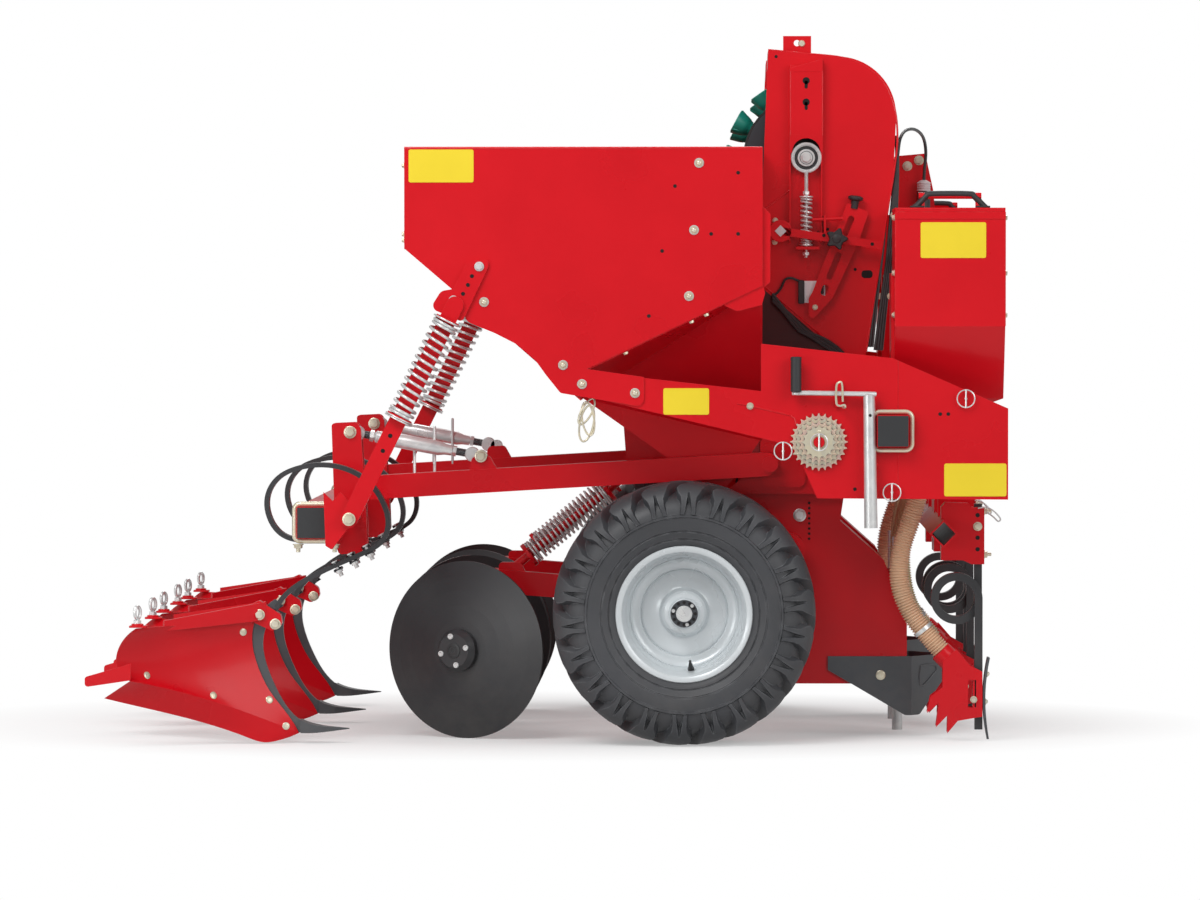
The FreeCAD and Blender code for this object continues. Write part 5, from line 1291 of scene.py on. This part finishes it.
# ---------------------------------------------------------------- rear tool frame
def square_bolt(bm, x, z, low, high, reach=46.0, bar=7.0):
    """Square U-bolt round a cross tube, with its legs pointing to the front plate."""
    y = (low + high) / 2
    legs = x + reach + 14
    bend = rounded([(legs, z - reach), (x - reach, z - reach, 14), (x - reach, z + reach, 14),
                    (legs, z + reach)], 6)
    tube(bm, [(corner.x, y, corner.y) for corner in bend], bar, 12)


def tube_u_bolts(bm):
    square_bolt(bm, -590.8, 556, 790, 806)
    for x in (-628, -537):
        hex_head(bm, (x, 798, 502), (0, 0, -1), 11, tail=10)


def main_cap_frame(bm):
    """Rounded band round the end of the main cross tube."""
    x, z = 857, 787
    half = 48
    loop = rounded(rectangle((x - half, x + half), (z - half, z + half), 16), 6)
    tube(bm, [(p.x, 868, p.y) for p in loop], 5.6, 12, joined=True, up=(0, 1, 0))


def head_bolts(bm):
    """Pin heads of the tool heads, the struts and the turnbuckles."""
    hex_head(bm, (-509.9, 593, 777.7), (0, 1, 0), 12.5)
    hex_head(bm, (-509.9, 527, 777.7), (0, -1, 0), 12.5)
    hex_head(bm, (-496, 887, 567), (0, 1, 0), 13)
    hex_head(bm, (-179, 585, 717), (0, 1, 0), 12.5)


def bracket_bolts(bm):
    """Bolts of the strut brackets and of the boots behind the wheels."""
    for x, z in ((-172, 1196), (-236, 1112)):
        hex_head(bm, seat("strut_brackets", x, z)[0], (0, 1, 0), 9.5)
    hex_head(bm, seat("planting_boots", 630, 565)[0], (0, 1, 0), 13)


def boot_holes(bm):
    for i in range(8):
        hole(bm, seat("planting_boots", 654, 596 - i * 13)[0], 3.4, steps=12)


def strut_holes(bm):
    for reach in (190, 232):
        hole(bm, STRUT_FOOT + STRUT_WAY * reach + V((0, 5, 0)), 5.5)
    for x, z in ((-190, 1172), (-200, 1150), (-212, 1128)):
        hole(bm, seat("strut_brackets", x, z)[0], 5)


def beam_rods(bm):
    """Upright locking rods behind the tool beam."""
    for x, top in ((-349, 734), (-298, 792)):
        tube(bm, [(x, 538, 668), (x, 538, top - 3), (x, 538, top)], [3.8, 3.8, 2.8], 10)


def hook_plates(bm):
    """Notched plates between each tool head and its spring strut."""
    prism(bm, [(-561, 634), (-538, 612), (-518, 634), (-486, 600), (-484, 560), (-502, 540), (-540, 490, 4),
               (-556, 500, 4)], 858, 863)


BUCKLE_REAR = V((-510, 560, 778))
BUCKLE_WAY = (V((-179, 560, 717)) - BUCKLE_REAR).normalized()


def turnbuckle_bodies(bm):
    """Forged sleeves with their lock nuts and eyes."""
    line = [BUCKLE_REAR + BUCKLE_WAY * reach for reach in (62, 66, 92, 112, 228, 244, 262)]
    tube(bm, line, [9.5, 15, 15, 18.5, 18.5, 14, 13], 24)
    turned(bm, [(15, 0), (15, 10)], BUCKLE_REAR + BUCKLE_WAY * 50, BUCKLE_WAY, 6)
    turned(bm, [(14, 0), (14, 9)], BUCKLE_REAR + BUCKLE_WAY * 264, BUCKLE_WAY, 6)
    for reach in (18, 314):
        turned(bm, [(17, -11), (19, -9), (19, 9), (17, 11)], BUCKLE_REAR + BUCKLE_WAY * reach, (0, 1, 0), 24)


def turnbuckle_screws(bm):
    pitch = 2.4
    for first, last in ((20, 52), (272, 312)):
        steps = range(2 * int((last - first) / pitch))
        tube(bm, [BUCKLE_REAR + BUCKLE_WAY * (first + i * pitch / 2) for i in steps],
             [9.0 if i % 2 else 10.2 for i in steps], 16)


TINE_WAY = V((-130, 0, -68)).normalized()
TINE_SQUARE = V((-TINE_WAY.z, 0, TINE_WAY.x))
TINE_CLIPS = [V((-452, y, 486)) + TINE_WAY * reach for y in RIDGERS for reach in (4, 48, 92)]


def tine_clips(bm):
    """Bolts of the clips where each rear tine doubles up."""
    for at in TINE_CLIPS:
        for side in (-1, 1):
            foot = at + V((0, side * 18, 0))
            tube(bm, [foot - TINE_SQUARE * 16, foot + TINE_SQUARE * 26], 4.2, 10)
            turned(bm, [(8.4, 0), (8.4, 7)], foot + TINE_SQUARE * 9, TINE_SQUARE, 6)
            turned(bm, [(8.4, 0), (8.4, 6)], foot - TINE_SQUARE * 16, TINE_SQUARE, 6)


def clip_plates(bm):
    """Plates over and under the doubled tine."""
    for at in TINE_CLIPS:
        for out in (7.5, -11.5):
            foot = at + TINE_SQUARE * out
            tube(bm, [foot - TINE_WAY * 11, foot + TINE_WAY * 11], 4.0, 8, up=(0, 1, 0), wide=7.0)


def build_rear():
    piece("tube_u_bolts", "yellow_zinc", tube_u_bolts, twin=True)
    piece("main_cap_frame", "yellow_zinc", main_cap_frame, twin=True)
    piece("head_bolts", "yellow_zinc", head_bolts, twin=True)
    piece("strut_holes", "painted_hole_shade", strut_holes, twin=True)
    piece("bracket_bolts", "zinc", bracket_bolts, twin=True)
    piece("boot_holes", "painted_hole_shade", boot_holes, twin=True)
    piece("beam_rods", "zinc", beam_rods, twin=True)
    piece("hook_plates", "red_paint", hook_plates, twin=True)
    piece("turnbuckle_bodies", "zinc", turnbuckle_bodies, twin=True)
    piece("turnbuckle_screws", "dark_steel", turnbuckle_screws, twin=True)
    piece("tine_clip_bolts", "zinc", tine_clips)
    piece("tine_clip_plates", "dark_steel", clip_plates)


# ---------------------------------------------------------------- ridging bodies
EYES = [y + side * 216 for y in RIDGERS for side in (-1, 1)]


def eye_brackets(bm):
    """Small plates at the rear top corners of the mouldboards, where the width is locked."""
    for y in EYES:
        prism(bm, rectangle((-1036, -992), (y - 17, y + 17), 5), 301, 306, "xy")
        turned(bm, [(15, 0), (15, 4), (12, 5)], (-1016, y, 306), (0, 0, 1), 18)


def eye_bolts(bm):
    """Upright eye bolts on those plates."""
    for y in EYES:
        at = V((-1016, y, 311))
        turned(bm, [(10, 0), (10, 8), (8, 9)], at, (0, 0, 1), 6)
        tube(bm, [at + V((0, 0, 8)), at + V((0, 0, 13))], 5.0, 8)
        loop = [at + V((6 * math.sin(a), 8 * math.sin(a), 27 - 15 * math.cos(a))) for a in around(22)]
        tube(bm, loop, 4.4, 8, joined=True, up=(0, 1, 0))


def hinge_bolts(bm):
    for y in RIDGERS:
        for side in (-1, 1):
            for x, z in ((-727, 324), (-688, 300)):
                spot = land("ridger_frames", (x, y + side * 90, z), (0, -side, 0))[0]
                hex_head(bm, spot, (0, side, 0), 10.8)


def wing_bolts(bm):
    """Countersunk bolts through the outer mouldboards."""
    for x, z in ((-995, 181), (-838, 125), (-703, 110), (-661, 44), (-768, 280)):
        spot, way = seat("ridger_wings", x, z)
        turned(bm, [(9.5, -2), (9.5, 0.7), (8.2, 1.5), (3.4, 1.6), (3.0, 0.9), (0, 0.9)], spot, way, 20)


def build_ridgers():
    piece("eye_brackets", "red_paint", eye_brackets)
    piece("eye_bolts", "zinc", eye_bolts)
    piece("ridger_wing_bolts", "yellow_zinc", wing_bolts, twin=True)
    piece("ridger_hinge_bolts", "yellow_zinc", hinge_bolts)


# ---------------------------------------------------------------- front tines
CLAMP_X = 1077


def front_bolts(bm):
    """Bolts of the clamps, the wear plates and the coulters."""
    for y in COULTERS:
        hex_head(bm, (CLAMP_X, y - 12, 541.6), (0, 1, 0), 9)
        for z in (470, 580):
            hex_head(bm, (1094, y - 44, z), (1, 0, 0), 9, tail=10)
        hex_head(bm, (1066, y + 30.3, 107), (0, 1, 0), 7)
        for z in (170, 100):
            dome_head(bm, land("tine_shares", (1200, y, z), (-1, 0, 0))[0], (1, 0, 0), 6.5)


def clamp_holes(bm):
    for y in COULTERS:
        for z in (570, 513, 484):
            hole(bm, (CLAMP_X, y - 12, z), 5.5, steps=16)


def cotter_wires(bm):
    """Spring cotters through the clamps of the tines."""
    for y in COULTERS:
        line = [(1078, y - 10, 588), (1096, y - 4, 590), (1112, y + 2, 584), (1126, y + 2, 572),
                (1134, y + 2, 560), (1128, y + 2, 555), (1116, y, 566), (1100, y - 4, 578)]
        tube(bm, flowing(line, 6), 2.0, 8)


def share_bolts(bm):
    for side in (-1, 1):
        spot = V((836, ROW + side * 131, 158))
        turned(bm, [(12.5, -1), (12.5, 2), (10.5, 3.2), (2, 3.2)], spot, (0, side, 0), 24)


def share_pockets(bm):
    """Raised rim of the pressed pocket in the bent nose of each furrow share."""
    line = [(938, 181), (960, 183), (979, 178), (981, 166), (962, 146), (945, 129), (937, 131), (935, 152)]
    tube(bm, [seat("furrow_shares", x, z)[0] for x, z in line], 2.2, 8, joined=True)


def build_front():
    piece("front_bolts", "yellow_zinc", front_bolts, twin=True)
    piece("clamp_holes", "painted_hole_shade", clamp_holes, twin=True)
    piece("cotter_wires", "zinc", cotter_wires, twin=True)
    piece("share_bolts", "yellow_zinc", share_bolts, twin=True)
    piece("share_pockets", "share_steel", share_pockets, twin=True)


# ---------------------------------------------------------------- floor, light and camera
def make_floor():
    bm = bmesh.new()
    bmesh.ops.create_circle(bm, cap_ends=True, segments=96, radius=9.0)
    mesh = bpy.data.meshes.new("studio_floor")
    bm.to_mesh(mesh)
    bm.free()
    floor = bpy.data.objects.new("studio_floor", mesh)
    bpy.context.scene.collection.objects.link(floor)
    material = bpy.data.materials.new("studio_floor")
    material.use_nodes = True
    tree = material.node_tree
    tree.nodes.clear()
    path = node(tree, "ShaderNodeLightPath").outputs
    tone = mixed(tree, path["Is Camera Ray"], (0.5, 0.5, 0.5, 1.0), (0.9, 0.9, 0.9, 1.0))
    matt = node(tree, "ShaderNodeBsdfDiffuse", {"Color": tone})
    white = node(tree, "ShaderNodeEmission", {"Color": (1, 1, 1, 1), "Strength": 1.0})
    seen = maths(tree, "MAXIMUM", path["Is Camera Ray"], path["Is Glossy Ray"])
    seen = maths(tree, "MAXIMUM", seen, path["Is Transmission Ray"])
    place = node(tree, "ShaderNodeTexCoord").outputs["Object"]
    squeezed = node(tree, "ShaderNodeVectorMath", {0: place, 1: (1.0, 1.25, 1.0)}, operation="MULTIPLY")
    reach = node(tree, "ShaderNodeVectorMath", {0: squeezed.outputs[0]}, operation="LENGTH").outputs["Value"]
    fade = spread(tree, reach, 0.95, 1.75, 0.3, 1.0)
    mask = maths(tree, "MULTIPLY", seen, fade)
    blend = node(tree, "ShaderNodeMixShader", {0: mask, 1: matt.outputs[0], 2: white.outputs[0]})
    leave = tree.nodes.new("ShaderNodeOutputMaterial")
    tree.links.new(blend.outputs[0], leave.inputs[0])
    mesh.materials.append(material)


def make_world():
    world = bpy.data.worlds.new("studio")
    bpy.context.scene.world = world
    world.use_nodes = True
    tree = world.node_tree
    tree.nodes.clear()
    lit = node(tree, "ShaderNodeBackground", {"Color": (1, 1, 1, 1), "Strength": 0.42})
    white = node(tree, "ShaderNodeBackground", {"Color": (1, 1, 1, 1), "Strength": 1.0})
    path = node(tree, "ShaderNodeLightPath").outputs
    seen = maths(tree, "MAXIMUM", path["Is Camera Ray"], path["Is Transmission Ray"])
    blend = node(tree, "ShaderNodeMixShader", {0: seen, 1: lit.outputs[0], 2: white.outputs[0]})
    leave = tree.nodes.new("ShaderNodeOutputWorld")
    tree.links.new(blend.outputs[0], leave.inputs[0])


def soft_lamp(name, at, target, size, power):
    lamp = bpy.data.lights.new(name, "AREA")
    lamp.shape = "RECTANGLE"
    lamp.size, lamp.size_y = size
    lamp.energy = power
    holder = bpy.data.objects.new(name, lamp)
    holder.location = at
    holder.rotation_mode = "QUATERNION"
    holder.rotation_quaternion = (V(target) - V(at)).to_track_quat("-Z", "Y")
    bpy.context.scene.collection.objects.link(holder)


def make_camera():
    lens = bpy.data.cameras.new("side_view")
    lens.lens = 192.15
    lens.sensor_width = 36.0
    lens.clip_end = 200.0
    camera = bpy.data.objects.new("side_view", lens)
    camera.location = (0.4346, -16.8, 1.120)
    aim = V((0.112, 0.0, 0.7187))
    camera.rotation_mode = "QUATERNION"
    camera.rotation_quaternion = (aim - camera.location).to_track_quat("-Z", "Y")
    bpy.context.scene.collection.objects.link(camera)
    bpy.context.scene.camera = camera


def make_studio():
    make_camera()
    make_floor()
    make_world()
    soft_lamp("key_lamp", (-2.5, -5.5, 6.0), (0, 0, 0.8), (4.0, 3.0), 270)
    soft_lamp("fill_lamp", (4.5, -5.0, 3.0), (0, 0, 0.8), (3.0, 3.0), 95)
    soft_lamp("low_lamp", (-2.6, -4.2, 0.9), (-0.7, -0.9, 0.2), (2.0, 0.7), 26)
    soft_lamp("back_lamp", (0.5, 5.5, 5.5), (0, 0, 0.9), (5.0, 3.0), 200)
    bpy.context.scene.view_settings.view_transform = "Standard"


make_studio()
dress_frame()
build_wheels()
build_springs()
build_hoses()
build_fittings()
build_hopper()
build_elevators()
build_boxes()
build_rear()
build_ridgers()
build_front()
